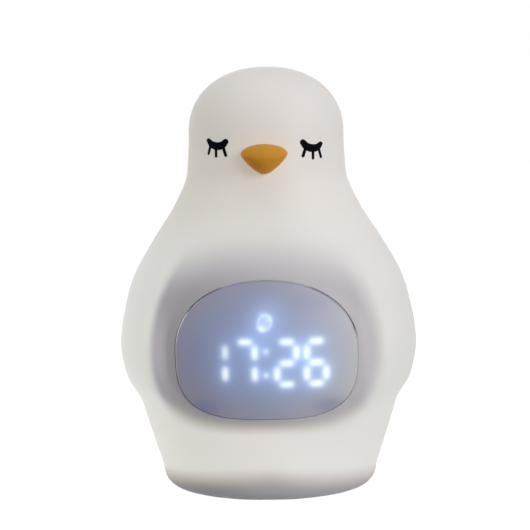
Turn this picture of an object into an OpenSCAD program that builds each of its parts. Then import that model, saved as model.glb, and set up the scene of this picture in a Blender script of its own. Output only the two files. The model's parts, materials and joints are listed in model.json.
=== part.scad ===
// Night-light alarm clock shaped like a sleeping bird.
// A soft translucent skin is stretched over a rigid frame that carries the clock display in front,
// the control panel behind, the night light in the head and the battery cap underneath.
// Millimetres. +Z is up, the display faces -Y, and the origin is on the table under the middle.

/* [Body] */
// Overall height, from the table to the crown
body_h = 180; // [176:1:190]
// Width at the top of the rounded base
base_w = 91.2; // [90:0.4:96]
// Width of the belly, without the flippers
belly_w = 119.8; // [117:0.4:123]
// Width of the head
head_w = 65.2; // [63:0.2:70]
// Height of the widest line of the belly
belly_z = 64.2; // [62:0.2:67]
// Belly depth in front of the origin
belly_front = 47.5; // [47:0.5:51]
// Belly depth behind the origin
belly_back = 47.4; // [46.4:0.2:51]
// Base depth in front of the origin
base_front = 38; // [37:0.5:41]
// Base depth behind the origin
base_back = 43.5; // [43:0.5:46]
// Head depth in front of the origin
head_front = 34.5; // [33:0.5:38]
// Head depth behind the origin
head_back = 34; // [32:0.5:37]
// Height of the crown's dome
dome_h = 27.5; // [26:0.5:30]
// Radius of the rounded lower edge
base_round = 9.5; // [8.5:0.1:10.5]
// Wall thickness of the skin
skin_t = 2.4; // [2:0.1:2.8]
// Thickness that the flippers add to the skin
flipper_t = 2.8; // [1.5:0.1:3.4]

/* [Display] */
// Height of the widest line of the display window
display_z = 65; // [64:0.5:66.5]
// Width of the window
display_w = 73.8; // [72:0.2:75]
// Window height above its widest line
display_up = 28.9; // [28:0.1:29.8]
// Window height below its widest line
display_down = 27.4; // [26.8:0.1:28.2]
// Depth of the belly hollow around the window, at its middle
hollow_depth = 1; // [0.5:0.1:2]
// How far the lens stands out of the hollow
lens_proud = 0.5; // [0.2:0.1:1]
// Wall thickness of the lens
lens_t = 2; // [1.6:0.1:2.4]
// Gap round the lens and round the rear panel
seam_gap = 0.3; // [0.2:0.05:0.4]
// Height of a digit, between the middles of its outer segments
digit_h = 17.4; // [16.2:0.1:17.6]
// Width of a digit, between the middles of its columns
digit_w = 7.8; // [7:0.1:7.9]
// Distance between the two digits of a pair
digit_pitch = 12; // [11.5:0.1:12.2]
// Distance between the two digits beside the colon
colon_pitch = 16.8; // [16:0.1:17]
// Width of a lit segment
segment_w = 2.2; // [1.6:0.1:2.2]

/* [Face] */
// Distance of the eyes below the crown
eye_from_crown = 33; // [31:0.5:34]
// How much lower than that the right eye sits; the left eye sits as much higher
eye_skew = 0.6; // [0:0.1:1]
// Distance of each eye from the middle
eye_x = 19.3; // [18.5:0.1:20]
// Distance of the beak's widest line below the crown
beak_from_crown = 35.3; // [33.3:0.1:36.3]
// Width of the beak
beak_w = 19; // [17:0.2:20]
// How far the beak stands out of the face
beak_proud = 8; // [6:0.5:9]

/* [Rear panel] */
// Width of the panel
panel_w = 48; // [47:0.5:50]
// Height of the panel
panel_h = 58; // [57:0.5:60]
// Height of the panel's middle
panel_z = 51; // [50.5:0.5:53]
// Distance of the panel's outer face behind the origin
panel_y = 41; // [40:0.5:42]
// Thickness of the panel
panel_t = 2.4; // [2:0.1:2.8]
// Diameter of the night-light button
light_button_d = 11; // [10:0.5:12]
// Diameter of the four small buttons
small_button_d = 8; // [7:0.5:8.5]
// How far a button travels when it is pressed
button_travel = 0.8; // [0.5:0.1:1]
// How far a button stands out of the panel
button_proud = 1; // [0.6:0.1:1.5]
// Diameter of the loudspeaker
speaker_d = 23; // [22:0.5:24]

/* [Base] */
// Height of the skin's lower edge above the table
foot_proud = 1; // [0.8:0.1:1.4]
// Diameter of a rubber foot
foot_d = 8; // [7:0.5:9]
// Diameter of the battery cap
cap_d = 25; // [24.5:0.5:26]
// Travel of the power switch
switch_travel = 3; // [2:0.5:3.5]
// Thickness of the base plate's flange and of the frame's floor
plate_t = 2; // [1.8:0.1:2.4]

/* [Frame] */
// Height of the deck that carries the night light
deck_z = 96; // [94:0.5:98]
// Thickness of a circuit board
board_t = 1.6; // [1.2:0.1:1.8]
// Outer radius of the diffuser
diffuser_r = 21; // [19:0.5:22]

/* [Hidden] */

// --- Clearances and small fixed sizes ---
fit = 0.1;            // play between pieces that are assembled and stay put
slide_gap = 0.15;     // play round a piece that moves
board_gap = 1;        // space between a board and the wall beside it
screw_r = 1;          // thread radius of every small screw
screw_head_r = 1.9;
screw_head_h = 1.3;
screw_sink = screw_head_h + 0.3; // depth of a countersink that hides a head
screw_play = 0.05;    // play between a screw and its hole
cover = 2;            // how much bigger a boss is than the screw in it
eps = 0.01;

// --- Outline of the body ---
head_z = body_h - dome_h;
base_top_z = foot_proud + base_round;
hip_z = mix(base_top_z, belly_z, 0.55);
chest_z = mix(belly_z, head_z, 0.24);
shoulder_z = mix(belly_z, head_z, 0.485);
nape_z = mix(belly_z, head_z, 0.66);
throat_z = mix(belly_z, head_z, 0.82);
dome_power = 2.18;
front_taper = 0.65; // how much rounder the front outline is at the base than at the belly
// From the base up: height, half width, depth in front, depth behind, squareness of the outline
stations = [
    [base_top_z, base_w / 2, base_front, base_back, 2.45],
    lower_station(hip_z, 0.62, 0.6, 0.6, 2.45),
    [belly_z, belly_w / 2, belly_front, belly_back, 2.45],
    upper_station(chest_z, 0.872, 0.93, 0.98, 2.4),
    upper_station(shoulder_z, 0.526, 0.62, 0.78, 2.3),
    upper_station(nape_z, 0.225, 0.24, 0.42, 2.2),
    upper_station(throat_z, 0.03, 0, 0.12, 2.15),
    [head_z, head_w / 2, head_front, head_back, 2.15]
];

// --- Flippers, as a raised leaf on each side ---
flipper_tip_z = base_top_z + 28;
flipper_root_z = shoulder_z + 22;
flipper_rise = 12;    // height over which the tip reaches its full thickness
flipper_fade = 36;    // height over which the root melts into the shoulder
flipper_back_edge = 9; // how far the flipper's rear edge lies behind the origin
flipper_bow = 9;      // how far that edge bows back at mid height
flipper_edge = 10;    // width of that edge's slope

// --- Hollow round the display ---
face_y = hollow_depth - belly_front;
face_rx = 72;         // crown radius of the hollow's floor and the lens, across
face_rz = 120;        // the same, up and down
hollow_w = display_w + 27;
hollow_up = display_up + 17;
hollow_down = display_down + 7.6;
hollow_power = 3.2;
hollow_fades = [0.2, 0.5, 0.24]; // share of the hollow over which its sides, top and bottom slope

// --- Niche round the rear panel ---
panel_inner_y = panel_y - panel_t;
niche_margin = 3.6;
niche_power = 5;
niche_fade = 0.1;

// --- Display stack, front to back ---
window_powers = [2.1, 3.27]; // squareness of the window above and below its widest line
lens_back_y = face_y + 16;
digits_depth = 9;
housing_back_y = lens_back_y + 12;
housing_t = 1.6;
boss_reach = 7;       // length of the housing's screw bosses
digits_z = display_z - 4.1;
icon_z = display_z + 12.7;
icon_r = 2.7;
dot_up = 0.27 * digit_h; // distance of the colon's dots from the digits' middle line
block_margin = 2.2;
digits_w = colon_pitch + 2 * digit_pitch + digit_w;
block_half_w = digits_w / 2 + block_margin;
block_half_h = digit_h / 2 + block_margin;
digits_y = face_at(block_half_w, digits_z - block_half_h) + lens_t - lens_proud + seam_gap;
display_board_y = digits_y + digits_depth;
led_depth = 0.8;
display_board_half_w = block_half_w + 1.25;
display_board_up = 16.2;
display_board_down = 19.2;
display_screws = [[22.5, 12.7], [14, -17.3]]; // from the display's middle

// --- Frame ---
frame_t = 2;
frame_w = base_w - 32;
frame_front = housing_back_y;
floor_z = foot_proud + skin_t + plate_t;
frame_rear = panel_inner_y - 15;
bar_h = 5;
bar_t = 3;
front_bars = [display_z - 17.5, display_z + 21.5];
housing_screw_x = 19;
ribbon_w = 10;
ribbon_t = 0.3;
ribbon_z = display_z - 11;
light_ribbon_x = frame_w / 2 - frame_t - 2.5;

// --- Base ---
lip_w = 6;            // width of the skin's lip under the base plate
flange_w = 2.2;       // how far the flange reaches over the lip
base_n = 2.45;
cap_t = 1.8;
cap_neck = 1.5;       // difference between the cap's and its neck's radius
lug_reach = 1.4;
lug_angle = 24;
cap_turn = 40;        // from closed to open
base_screw_at = [base_w / 2 - base_round - lip_w - 6, 7.6];
screw_grip = 3.5;     // how far a screw reaches into a boss from either end
foot_x = base_w / 2 - 26;
foot_front = base_front - 24;
foot_back = base_back - 26.5;
foot_sink = 1;
boss_h = 8.6;
main_board_z = floor_z + plate_t + boss_h;
main_board_size = [frame_w - 2 * frame_t - 3, 37];
main_board_y = 3.5;
cell_r = 10;
cell_h = 3.2;
cell_z = floor_z + 1.2;
switch_y = 19;
knob_w = 4;
knob_d = 3.2;

// --- Rear panel stack, outside to inside ---
panel_power = 5;
flange_t = 1.6;       // thickness of a button's retaining flange
flange_reach = 1.2;
flange_y = panel_inner_y - fit;
plunger_r = 1.75;
plunger_h = 2.6;
switch_h = 3.8;
switch_w = 6;
plunger_deep = button_travel + 1; // how far a plunger reaches into its switch
button_board_y = flange_y - flange_t - plunger_h - switch_h;
row_low = panel_z - panel_h / 2 + 12;
row_high = row_low + 13;
button_x = panel_w / 2 - 9;
speaker_z = row_high + 19.5;
speaker_depth = 5;
rim_w = 1.6;
rim_t = 1;
basket_t = 0.8;
basket_taper = 3;     // how much narrower the basket is at the back, on either side
coil_end = speaker_depth - basket_t;
coil_r = 3.2;
coil_t = 0.4;
cone_depth = 2.2;
cone_gap = 0.2;
cap_rise = 0.6;       // how far the dust cap stands before the coil
roll_w = 1.5;         // width of the soft roll round the cone
paper_t = 0.3;
speaker_back_y = panel_inner_y - speaker_depth;
magnet_h = 3.4;
magnet_r = 7;
board_posts = [[9.5, row_high + 5.5], [8, row_low - 3]];
post_x = panel_w / 2 - 6.6;
panel_posts = [[post_x, panel_z - panel_h / 2 + 4], [post_x, panel_z + panel_h / 2 - 4.5]];
post_r = screw_r + cover;
grille_pitch = 2.7;
usb_size = [9, 3.2];
usb_wall = 0.3;

// --- Head ---
deck_t = 2.5;
light_z = deck_z + deck_t;
diffuser_t = 1.6;
diffuser_foot_w = 4;
foot_h = 2;           // thickness of the diffuser's flange
light_board_r = diffuser_r - diffuser_t - board_gap;
touch_r = 9;
touch_t = 1;
lead_r = 0.7;
touch_z = inner_crown(touch_r) - seam_gap;
led_size = [3.5, 2.8, 1.9];
led_circle_r = 11;

// --- Face ---
eye_z = body_h - eye_from_crown;
beak_z = body_h - beak_from_crown;
beak_up = 4.1;
beak_down = 7.9;
beak_powers = [1.88, 1.26];
beak_sink = 1.6;
beak_seat_y = beak_sink - head_front;
beak_plug_y = skin_t - head_front + 0.4;
beak_stem_r = 3;
beak_droop = 2;       // how far the tip lies under the widest line
eye_depth = 0.8;
eye_proud = 0.2;
// Strokes of a closed eye: across from the eye's middle (away from the beak), up, radius
lid = [[-3.7, 2.2, 1.2], [-2.2, 0.7, 1.45], [0.1, 0.1, 1.5], [2.4, 0.7, 1.3], [3.6, 2, 0.85]];
lashes = [
    [[-2.6, -0.4, 0.6], [-3.6, -3.2, 0.55]],
    [[0.5, -0.8, 0.5], [0.5, -3.9, 0.5]],
    [[3, -0.2, 0.48], [3.7, -3.3, 0.45]]
];

// ---------------------------------------------------------------- functions

function mix(a, b, t) = a + (b - a) * t;
// A station above or below the belly, by its share of the belly's width and depths
function upper_station(z, w, front, back, n) =
    [z, mix(head_w, belly_w, w) / 2, mix(head_front, belly_front, front), mix(head_back, belly_back, back), n];
function lower_station(z, w, front, back, n) =
    [z, mix(base_w, belly_w, w) / 2, mix(base_front, belly_front, front), mix(base_back, belly_back, back), n];
function clamp(t) = max(0, min(1, t));
function ease(a, b, x) = let (t = clamp((x - a) / (b - a))) t * t * (3 - 2 * t);
function signed_pow(v, e) = sign(v) * pow(abs(v), e);

// Monotone cubic through one column of the stations
function secant(c, i) = (stations[i + 1][c] - stations[i][c]) / (stations[i + 1][0] - stations[i][0]);
function slope(c, i) =
    i == 0 ? secant(c, 0) :
    i == len(stations) - 1 ? 0 :
    let (a = secant(c, i - 1), b = secant(c, i),
         ha = stations[i][0] - stations[i - 1][0], hb = stations[i + 1][0] - stations[i][0])
    a * b <= 0 ? 0 : 3 * (ha + hb) / ((2 * hb + ha) / a + (hb + 2 * ha) / b);
function outline_at(c, z) =
    let (zc = max(base_top_z, min(head_z, z)),
         i = [for (k = [0:len(stations) - 2]) if (zc <= stations[k + 1][0]) k][0],
         h = stations[i + 1][0] - stations[i][0], t = (zc - stations[i][0]) / h)
    (2 * pow(t, 3) - 3 * t * t + 1) * stations[i][c] + (pow(t, 3) - 2 * t * t + t) * h * slope(c, i)
    + (3 * t * t - 2 * pow(t, 3)) * stations[i + 1][c] + (pow(t, 3) - t * t) * h * slope(c, i + 1);

// Half width, front depth, back depth and squareness of the body at a height, inset by a wall
function ring_at(z, inset) =
    let (crown = clamp((z - head_z) / (dome_h - inset)),
         taper = pow(1 - pow(crown, dome_power), 1 / dome_power),
         low = clamp((base_top_z - z) / (base_round - inset)),
         tuck = (base_round - inset) * (1 - sqrt(1 - low * low)))
    [for (c = [1:3]) (outline_at(c, z) - inset) * taper - tuck, outline_at(4, z)];

// Share of the flipper's thickness at a height and depth
function flipper(y, z) =
    let (bow = flipper_bow * ease(flipper_tip_z, belly_z, z) * ease(flipper_root_z, chest_z, z),
         rear = flipper_back_edge + bow)
    ease(flipper_root_z, flipper_root_z - flipper_fade, z)
    * ease(flipper_tip_z, flipper_tip_z + flipper_rise, z)
    * ease(rear, rear - flipper_edge, y);

// Front face of the lens and of the hollow's floor
function face_at(x, z) = face_y + x * x / (2 * face_rx) + pow(z - display_z, 2) / (2 * face_rz);

// Pushes a front point back into the hollow round the display
function hollowed(x, y, z, inset) =
    let (floor_y = face_at(x, z) + inset, dz = z - display_z,
         rx = 2 * abs(x) / hollow_w, rz = abs(dz) / (dz > 0 ? hollow_up : hollow_down),
         r = pow(pow(rx, hollow_power) + pow(rz, hollow_power), 1 / hollow_power),
         fade = mix(hollow_fades[0], hollow_fades[dz > 0 ? 1 : 2], pow(rz / max(r, eps), 2)))
    floor_y > y ? mix(y, floor_y, ease(1, 1 - fade, r)) : y;

// Pushes a rear point forward to the flat niche round the panel
function niched(x, y, z, inset) =
    let (floor_y = panel_y - inset,
         rx = abs(x) / (panel_w / 2 + niche_margin), rz = abs(z - panel_z) / (panel_h / 2 + niche_margin),
         r = pow(pow(rx, niche_power) + pow(rz, niche_power), 1 / niche_power))
    floor_y < y ? mix(y, floor_y, ease(1, 1 - niche_fade, r)) : y;

// A point of the skin at height z and angle u; the inner face has no flippers
function skin_point(z, u, inset) =
    let (ring = ring_at(z, inset), depth = sin(u) < 0 ? ring[1] : ring[2],
         n = ring[3] - (sin(u) < 0 ? front_taper * ease(belly_z, base_top_z, z) : 0),
         cx = signed_pow(cos(u), 2 / n), cy = signed_pow(sin(u), 2 / n),
         nx = signed_pow(cx, n - 1) / max(ring[0], eps), ny = signed_pow(cy, n - 1) / max(depth, eps),
         lift = inset > 0 ? 0 : flipper_t * flipper(depth * cy, z) / max(norm([nx, ny]), eps),
         x = ring[0] * cx + nx * lift, y = depth * cy + ny * lift)
    [x, sin(u) < 0 ? hollowed(x, y, z, inset) : niched(x, y, z, inset), z];

// Heights of the rings that draw the skin
function skin_heights(inset, low, middle, high) = concat(
    [for (k = [0:low]) base_top_z - (base_round - inset) * cos(90 * k / low)],
    [for (k = [1:middle]) mix(base_top_z, head_z, k / middle)],
    [for (k = [1:high]) head_z + (dome_h - inset) * sin(90 * k / (high + 0.35))]
);

// Height of the skin's inner face over the head, at a distance from the middle
function inner_crown(r) =
    let (reach = min(head_front, head_back, head_w / 2) - skin_t)
    head_z + (dome_h - skin_t) * pow(1 - pow(r / reach, dome_power), 1 / dome_power);

// Closed outlines: a window of two half superellipses, and a ring that is deeper on one side
function two_part(a, up, down, powers, count) =
    [for (k = [0:count - 1]) let (t = 360 * k / count, n = sin(t) < 0 ? powers[1] : powers[0])
        [a * signed_pow(cos(t), 2 / n), (sin(t) < 0 ? down : up) * signed_pow(sin(t), 2 / n)]];
function window(grow) =
    two_part(display_w / 2 + grow, display_up + grow, display_down + grow, window_powers, 60);
function lifted(points, dz) = [for (p = points) [p[0], p[1] + dz]];

// Sizes of the skin's bottom opening, grown
function base_outline(grow) =
    two_part(base_w / 2 - base_round - lip_w + grow, base_back - base_round - lip_w + grow,
             base_front - base_round - lip_w + grow, [base_n, base_n], 64);

// Outline of a strip that follows a list of points
function strip(path, t) = concat(
    [for (i = [0:len(path) - 1]) path[i] + side(path, i) * t / 2],
    [for (i = [len(path) - 1:-1:0]) path[i] - side(path, i) * t / 2]
);
function side(path, i) =
    let (a = path[max(i - 1, 0)], b = path[min(i + 1, len(path) - 1)], d = (b - a) / norm(b - a)) [-d[1], d[0]];

// Points of a quarter turn of radius r about a centre, from one angle to another
function turn(centre, r, from, to) =
    [for (k = [0:6]) let (a = mix(from, to, k / 6)) centre + r * [cos(a), sin(a)]];

// ---------------------------------------------------------------- shared shapes

// A closed shell through rings that all have as many points; the first and last ring are capped
module loft(rings) {
    n = len(rings[0]);
    last = len(rings) - 1;
    function middle(ring) = [for (p = ring) 1] * ring / n;
    caps = [middle(rings[0]), middle(rings[last])];
    polyhedron(
        points = concat([for (ring = rings) each ring], caps),
        faces = concat(
            [for (i = [0:n - 1]) [i, (i + 1) % n, n * (last + 1)]],
            [for (i = [0:n - 1]) [n * last + (i + 1) % n, n * last + i, n * (last + 1) + 1]],
            [for (k = [0:last - 1], i = [0:n - 1], half = [0, 1])
                let (a = n * k + i, b = n * k + (i + 1) % n)
                half == 0 ? [a, b + n, b] : [a, a + n, b + n]]
        ),
        convexity = 6
    );
}

// Extrudes an outline drawn in X and Z from y0 back to y1
module along_y(y0, y1) {
    translate([0, y1, 0]) rotate([90, 0, 0]) linear_extrude(y1 - y0) children();
}

// A round bar from y0 to y1, at x and z
module rod_y(x, z, r, y0, y1) {
    translate([x, y1, z]) rotate([90, 0, 0]) cylinder(r = r, h = y1 - y0, $fn = 48);
}

// A screw's hole along Y or down Z, from one coordinate to another
module screw_hole_y(y0, y1) {
    rod_y(0, 0, screw_r + screw_play, y0, y1);
}

module screw_hole_z(z0, z1) {
    translate([0, 0, z0]) cylinder(r = screw_r + screw_play, h = z1 - z0, $fn = 32);
}

// A cross-headed screw; it starts at the origin and its thread runs to -Z
module screw(length) {
    difference() {
        union() {
            cylinder(r = screw_head_r, h = screw_head_h, $fn = 32);
            translate([0, 0, -length]) cylinder(r = screw_r, h = length + eps, $fn = 32);
        }
        for (a = [0, 90])
            rotate([0, 0, a]) translate([-1, -0.25, screw_head_h - 0.7]) cube([2, 0.5, 1]);
    }
}

// Copies at plus and minus x
module both_sides() {
    children();
    mirror([1, 0, 0]) children();
}

// ---------------------------------------------------------------- skin and face

module body_shell(inset, counts, segments) {
    loft([for (z = skin_heights(inset, counts[0], counts[1], counts[2]))
        [for (k = [0:segments - 1]) skin_point(z, 360 * k / segments, inset)]]);
}

module skin() {
    color("whitesmoke")
    resize([0, 0, body_h - foot_proud]) // keeps the moulding one mesh, at its exact height
    difference() {
        body_shell(0, [6, 29, 8], 72);
        body_shell(skin_t, [3, 15, 6], 40);
        along_y(-body_h, 0) polygon(lifted(window(seam_gap), display_z));
        along_y(0, body_h) polygon(lifted(panel_outline(seam_gap), panel_z));
        linear_extrude(floor_z) polygon(base_outline(0));
        along_y(-body_h, beak_seat_y) polygon(lifted(beak_outline(1, fit), beak_z));
        rod_y(0, beak_z - beak_droop / 2, beak_stem_r + fit, beak_seat_y - 1, 0);
        for (side = [-1, 1]) eye(side, fit);
    }
}

// The face's surface at a point: depth and turn from straight ahead
function brow_y(x, z) =
    let (ring = ring_at(z, 0)) -ring[1] * pow(1 - pow(abs(x) / ring[0], ring[3]), 1 / ring[3]);
function brow_turn(x, z) =
    let (ring = ring_at(z, 0), n = ring[3])
    atan2(pow(x / ring[0], n - 1) / ring[0], pow(-brow_y(x, z) / ring[1], n - 1) / ring[1]);

// A short peg set square into the face
module peg(p, grow) {
    x = eye_x + p[0];
    z = p[1];
    deep = eye_depth + grow;
    translate([x, brow_y(x, z), z]) rotate([0, 0, brow_turn(x, z)]) rotate([90, 0, 0])
        translate([0, 0, -deep]) cylinder(r = p[2] + grow, h = deep + eye_proud + grow, $fn = 14);
}

module stroke(points, grow) {
    for (i = [0:len(points) - 2])
        hull() {
            peg(points[i], grow);
            peg(points[i + 1], grow);
        }
}

// A closed eyelid with three lashes, inlaid in the skin on the right or the left
module eye(side, grow = 0) {
    z = eye_z - side * eye_skew;
    mirror([side < 0 ? 1 : 0, 0, 0])
        for (line = concat([lid], lashes)) stroke([for (p = line) [p[0], z + p[1], p[2]]], grow);
}

module eye_right() {
    color("black") render() eye(1);
}

module eye_left() {
    color("black") render() eye(-1);
}

function beak_outline(s, grow) =
    two_part(s * beak_w / 2 + grow, s * beak_up + grow, s * beak_down + grow, beak_powers, 36);

module beak() {
    tip_y = -head_front - beak_proud;
    rings = concat(
        [[for (p = beak_outline(1, 0)) [p[0], beak_seat_y, beak_z + p[1]]]],
        [for (a = [0:10:80]) let (s = pow(cos(a), 0.9), y = mix(beak_sink / 3 - head_front, tip_y, sin(a)))
            [for (p = beak_outline(s, 0)) [p[0], y, beak_z - beak_droop * sin(a) + p[1]]]]
    );
    color("orange") {
        loft(rings);
        rod_y(0, beak_z - beak_droop / 2, beak_stem_r, beak_seat_y - eps, beak_plug_y + eps);
        rod_y(0, beak_z - beak_droop / 2, beak_stem_r + 1.5, beak_plug_y, beak_plug_y + 1.2);
    }
}

// ---------------------------------------------------------------- display

module display_lens() {
    steps = 8;
    function cap(s, grow, dy) =
        [for (p = lifted(window(grow) * s, display_z)) [p[0], face_at(p[0], p[1]) + dy, p[1]]];
    function rim(grow) = [for (p = lifted(window(grow), display_z)) [p[0], lens_back_y, p[1]]];
    color("lightsteelblue")
    loft(concat(
        [for (k = [0.3:steps]) cap(k / steps, -lens_t, lens_t - lens_proud)],
        [cap(1, -lens_t, lens_t - lens_proud), rim(-lens_t), rim(0), cap(1, 0, 0)],
        [for (k = [steps - 1:-1:0]) cap((k + 0.3) / steps, 0, -lens_proud)]
    ));
}

module display_housing() {
    color("gray") difference() {
        union() {
            difference() {
                along_y(lens_back_y, housing_back_y) polygon(lifted(window(0), display_z));
                along_y(lens_back_y - 1, housing_back_y - housing_t)
                    polygon(lifted(window(-housing_t), display_z));
            }
            at_housing_screws() rod_y(0, 0, screw_r + cover, housing_back_y - boss_reach, housing_back_y);
            at_display_screws() rod_y(0, 0, screw_r + 1, display_board_y + board_t, housing_back_y);
        }
        at_housing_screws() screw_hole_y(housing_back_y - boss_reach + 1, housing_back_y + 1);
        at_display_screws() screw_hole_y(display_board_y, display_board_y + board_t + 5);
        translate([-ribbon_w / 2 - 1, housing_back_y - housing_t - 1, ribbon_z - 1.5])
            cube([ribbon_w + 2, housing_t + 2, 3]);
    }
}

module at_housing_screws() {
    both_sides() for (z = front_bars) translate([housing_screw_x, 0, z]) children();
}

module at_display_screws() {
    both_sides() for (p = display_screws) translate([p[0], 0, display_z + p[1]]) children();
}

// The seven segments of a digit, as [x, z, turn, length]
segments = [
    for (row = [-1, 0, 1]) [0, row * digit_h / 2, 0, digit_w - 0.7],
    for (column = [-1, 1], row = [-1, 1]) [column * digit_w / 2, row * digit_h / 4, 90, digit_h / 2 - 0.7]
];
digit_places = [for (side = [-1, 1], k = [0, 1]) side * (colon_pitch / 2 + k * digit_pitch)];

// Every light opening of the display, drawn in X and Z and made smaller by a gap
module openings(gap) {
    for (x = digit_places, s = segments)
        translate([x + s[0], digits_z + s[1]]) rotate(s[2]) segment(s[3], gap);
    for (row = [-1, 1]) translate([0, digits_z + row * dot_up]) circle(r = segment_w / 2 - gap, $fn = 24);
    translate([0, icon_z]) circle(r = icon_r - gap, $fn = 36);
}

// One lit segment, lying across, with pointed ends
module segment(length, gap) {
    w = segment_w / 2 - gap;
    l = length / 2 - 1.4 * gap;
    polygon([[-l, 0], [w - l, w], [l - w, w], [l, 0], [l - w, -w], [w - l, -w]]);
}

module digit_block() {
    color("dimgray") along_y(digits_y, display_board_y) difference() {
        union() {
            translate([-block_half_w, digits_z - block_half_h]) square([2 * block_half_w, 2 * block_half_h]);
            translate([-icon_r - block_margin, digits_z])
                square([2 * (icon_r + block_margin), icon_z - digits_z + icon_r + block_margin]);
        }
        openings(0);
    }
}

module segment_light_guides() {
    color("white") along_y(digits_y, display_board_y - led_depth) openings(fit);
}

module display_board() {
    color("seagreen") difference() {
        translate([-display_board_half_w, display_board_y, display_z - display_board_down])
            cube([2 * display_board_half_w, board_t, display_board_down + display_board_up]);
        at_display_screws() screw_hole_y(display_board_y - 1, display_board_y + board_t + 1);
    }
}

// One light chip at the back of each light opening
module display_leds() {
    chip = [1.2, 1.2];
    color("khaki") along_y(display_board_y - led_depth, display_board_y) {
        for (x = digit_places, s = segments) translate([x + s[0], digits_z + s[1]]) square(chip, center = true);
        for (row = [-1, 1]) translate([0, digits_z + row * dot_up]) square(chip, center = true);
        translate([0, icon_z]) square(2 * chip, center = true);
    }
}

module display_board_screws() {
    color("silver") at_display_screws() translate([0, display_board_y, 0]) rotate([90, 0, 0])
        screw(board_t + 4);
}

module housing_screws() {
    color("silver") at_housing_screws() translate([0, frame_front + bar_t, 0]) rotate([-90, 0, 0])
        screw(bar_t + boss_reach - 2);
}

// Flat cable from the display board down to the main board
module display_ribbon() {
    bend = 4;
    y = frame_front + bar_t + bend;
    foot_z = main_board_z + board_t + ribbon_t / 2;
    path = concat(
        [[display_board_y + board_t, ribbon_z]],
        turn([y - bend, ribbon_z - bend], bend, 90, 0),
        turn([y + bend, foot_z + bend], bend, 180, 270),
        [[y + bend + 3, foot_z]]
    );
    color("ivory") translate([-ribbon_w / 2, 0, 0]) rotate([90, 0, 90])
        linear_extrude(ribbon_w) polygon(strip(path, ribbon_t));
}

// ---------------------------------------------------------------- frame and boards

module frame() {
    inner = frame_w / 2 - frame_t;
    depth = frame_rear - frame_front;
    color("white") difference() {
        union() {
            translate([0, 0, floor_z]) linear_extrude(plate_t) polygon(base_outline(flange_w));
            both_sides() translate([inner, frame_front, floor_z])
                cube([frame_t, depth, deck_z - floor_z + deck_t]);
            crosspiece(frame_front, deck_z, depth, deck_t);
            for (z = front_bars) crosspiece(frame_front, z - bar_h / 2, bar_t, bar_h);
            for (p = panel_posts) crosspiece(frame_rear - bar_t, p[1] - bar_h / 2, bar_t, bar_h);
            at_base_screws() translate([0, 0, floor_z + plate_t - eps])
                cylinder(r = screw_r + cover, h = boss_h + eps, $fn = 48);
        }
        at_housing_screws() screw_hole_y(frame_front - 1, frame_front + bar_t + 1);
        at_panel_posts() screw_hole_y(frame_rear - bar_t - 1, frame_rear + 1);
        at_base_screws() {
            screw_hole_z(floor_z - 1, floor_z + plate_t + screw_grip + 0.2);
            screw_hole_z(main_board_z - screw_grip, main_board_z + 1);
        }
        translate([0, 0, floor_z - 1]) cylinder(r = cap_d / 2 + 0.8, h = plate_t + 2, $fn = 72);
        translate([-switch_slot() / 2, switch_y - knob_d / 2 - slide_gap, floor_z - 1])
            cube([switch_slot(), knob_d + 2 * slide_gap, plate_t + 2]);
        translate([light_ribbon_x - 1, -ribbon_w / 2 - 0.5, deck_z - 1]) cube([2, ribbon_w + 1, deck_t + 2]);
        at_diffuser_screws() screw_hole_z(deck_z - 1, light_z + 1);
    }
}

// A bar or plate from one side wall of the frame to the other
module crosspiece(y, z, deep, high) {
    half = frame_w / 2 - frame_t + eps;
    translate([-half, y, z]) cube([2 * half, deep, high]);
}

function switch_slot() = knob_w + switch_travel + 2 * slide_gap;

module at_base_screws() {
    both_sides() for (side = [-1, 1]) translate([base_screw_at[0], side * base_screw_at[1], 0]) children();
}

module at_panel_posts() {
    both_sides() for (p = panel_posts) translate([p[0], 0, p[1]]) children();
}

module at_diffuser_screws() {
    for (a = [45:90:315])
        rotate([0, 0, a]) translate([diffuser_r + diffuser_foot_w / 2, 0, 0]) children();
}

module main_board() {
    color("seagreen") difference() {
        translate([-main_board_size[0] / 2, main_board_y - main_board_size[1] / 2, main_board_z])
            cube([main_board_size[0], main_board_size[1], board_t]);
        at_base_screws() screw_hole_z(main_board_z - 1, main_board_z + board_t + 1);
    }
}

// Processor, sound chip, crystal, plug for the cables, capacitor
module board_components() {
    z = main_board_z + board_t;
    color("dimgray") {
        translate([-16, 4, z]) cube([9, 9, 1.2]);
        translate([4, 6, z]) cube([5, 4, 1.4]);
        translate([-16, -8, z]) cube([3.2, 7, 1.6]);
        translate([12, 8, z]) cube([7, 4, 4]);
        translate([14, -3, z]) cylinder(r = 2.5, h = 5.4, $fn = 32);
    }
}

module main_board_screws() {
    color("silver") at_base_screws() translate([0, 0, main_board_z + board_t])
        screw(board_t + screw_grip - 0.2);
}

// ---------------------------------------------------------------- night light

module night_light_board() {
    color("white") difference() {
        translate([0, 0, light_z]) cylinder(r = light_board_r, h = board_t, $fn = 72);
        translate([0, 0, light_z - 1]) cylinder(r = 1, h = board_t + 2, $fn = 24);
    }
}

module night_light_leds() {
    color("khaki") for (a = [30:60:330]) rotate([0, 0, a])
        translate([led_circle_r, 0, light_z + board_t + led_size[2] / 2]) cube(led_size, center = true);
}

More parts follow.
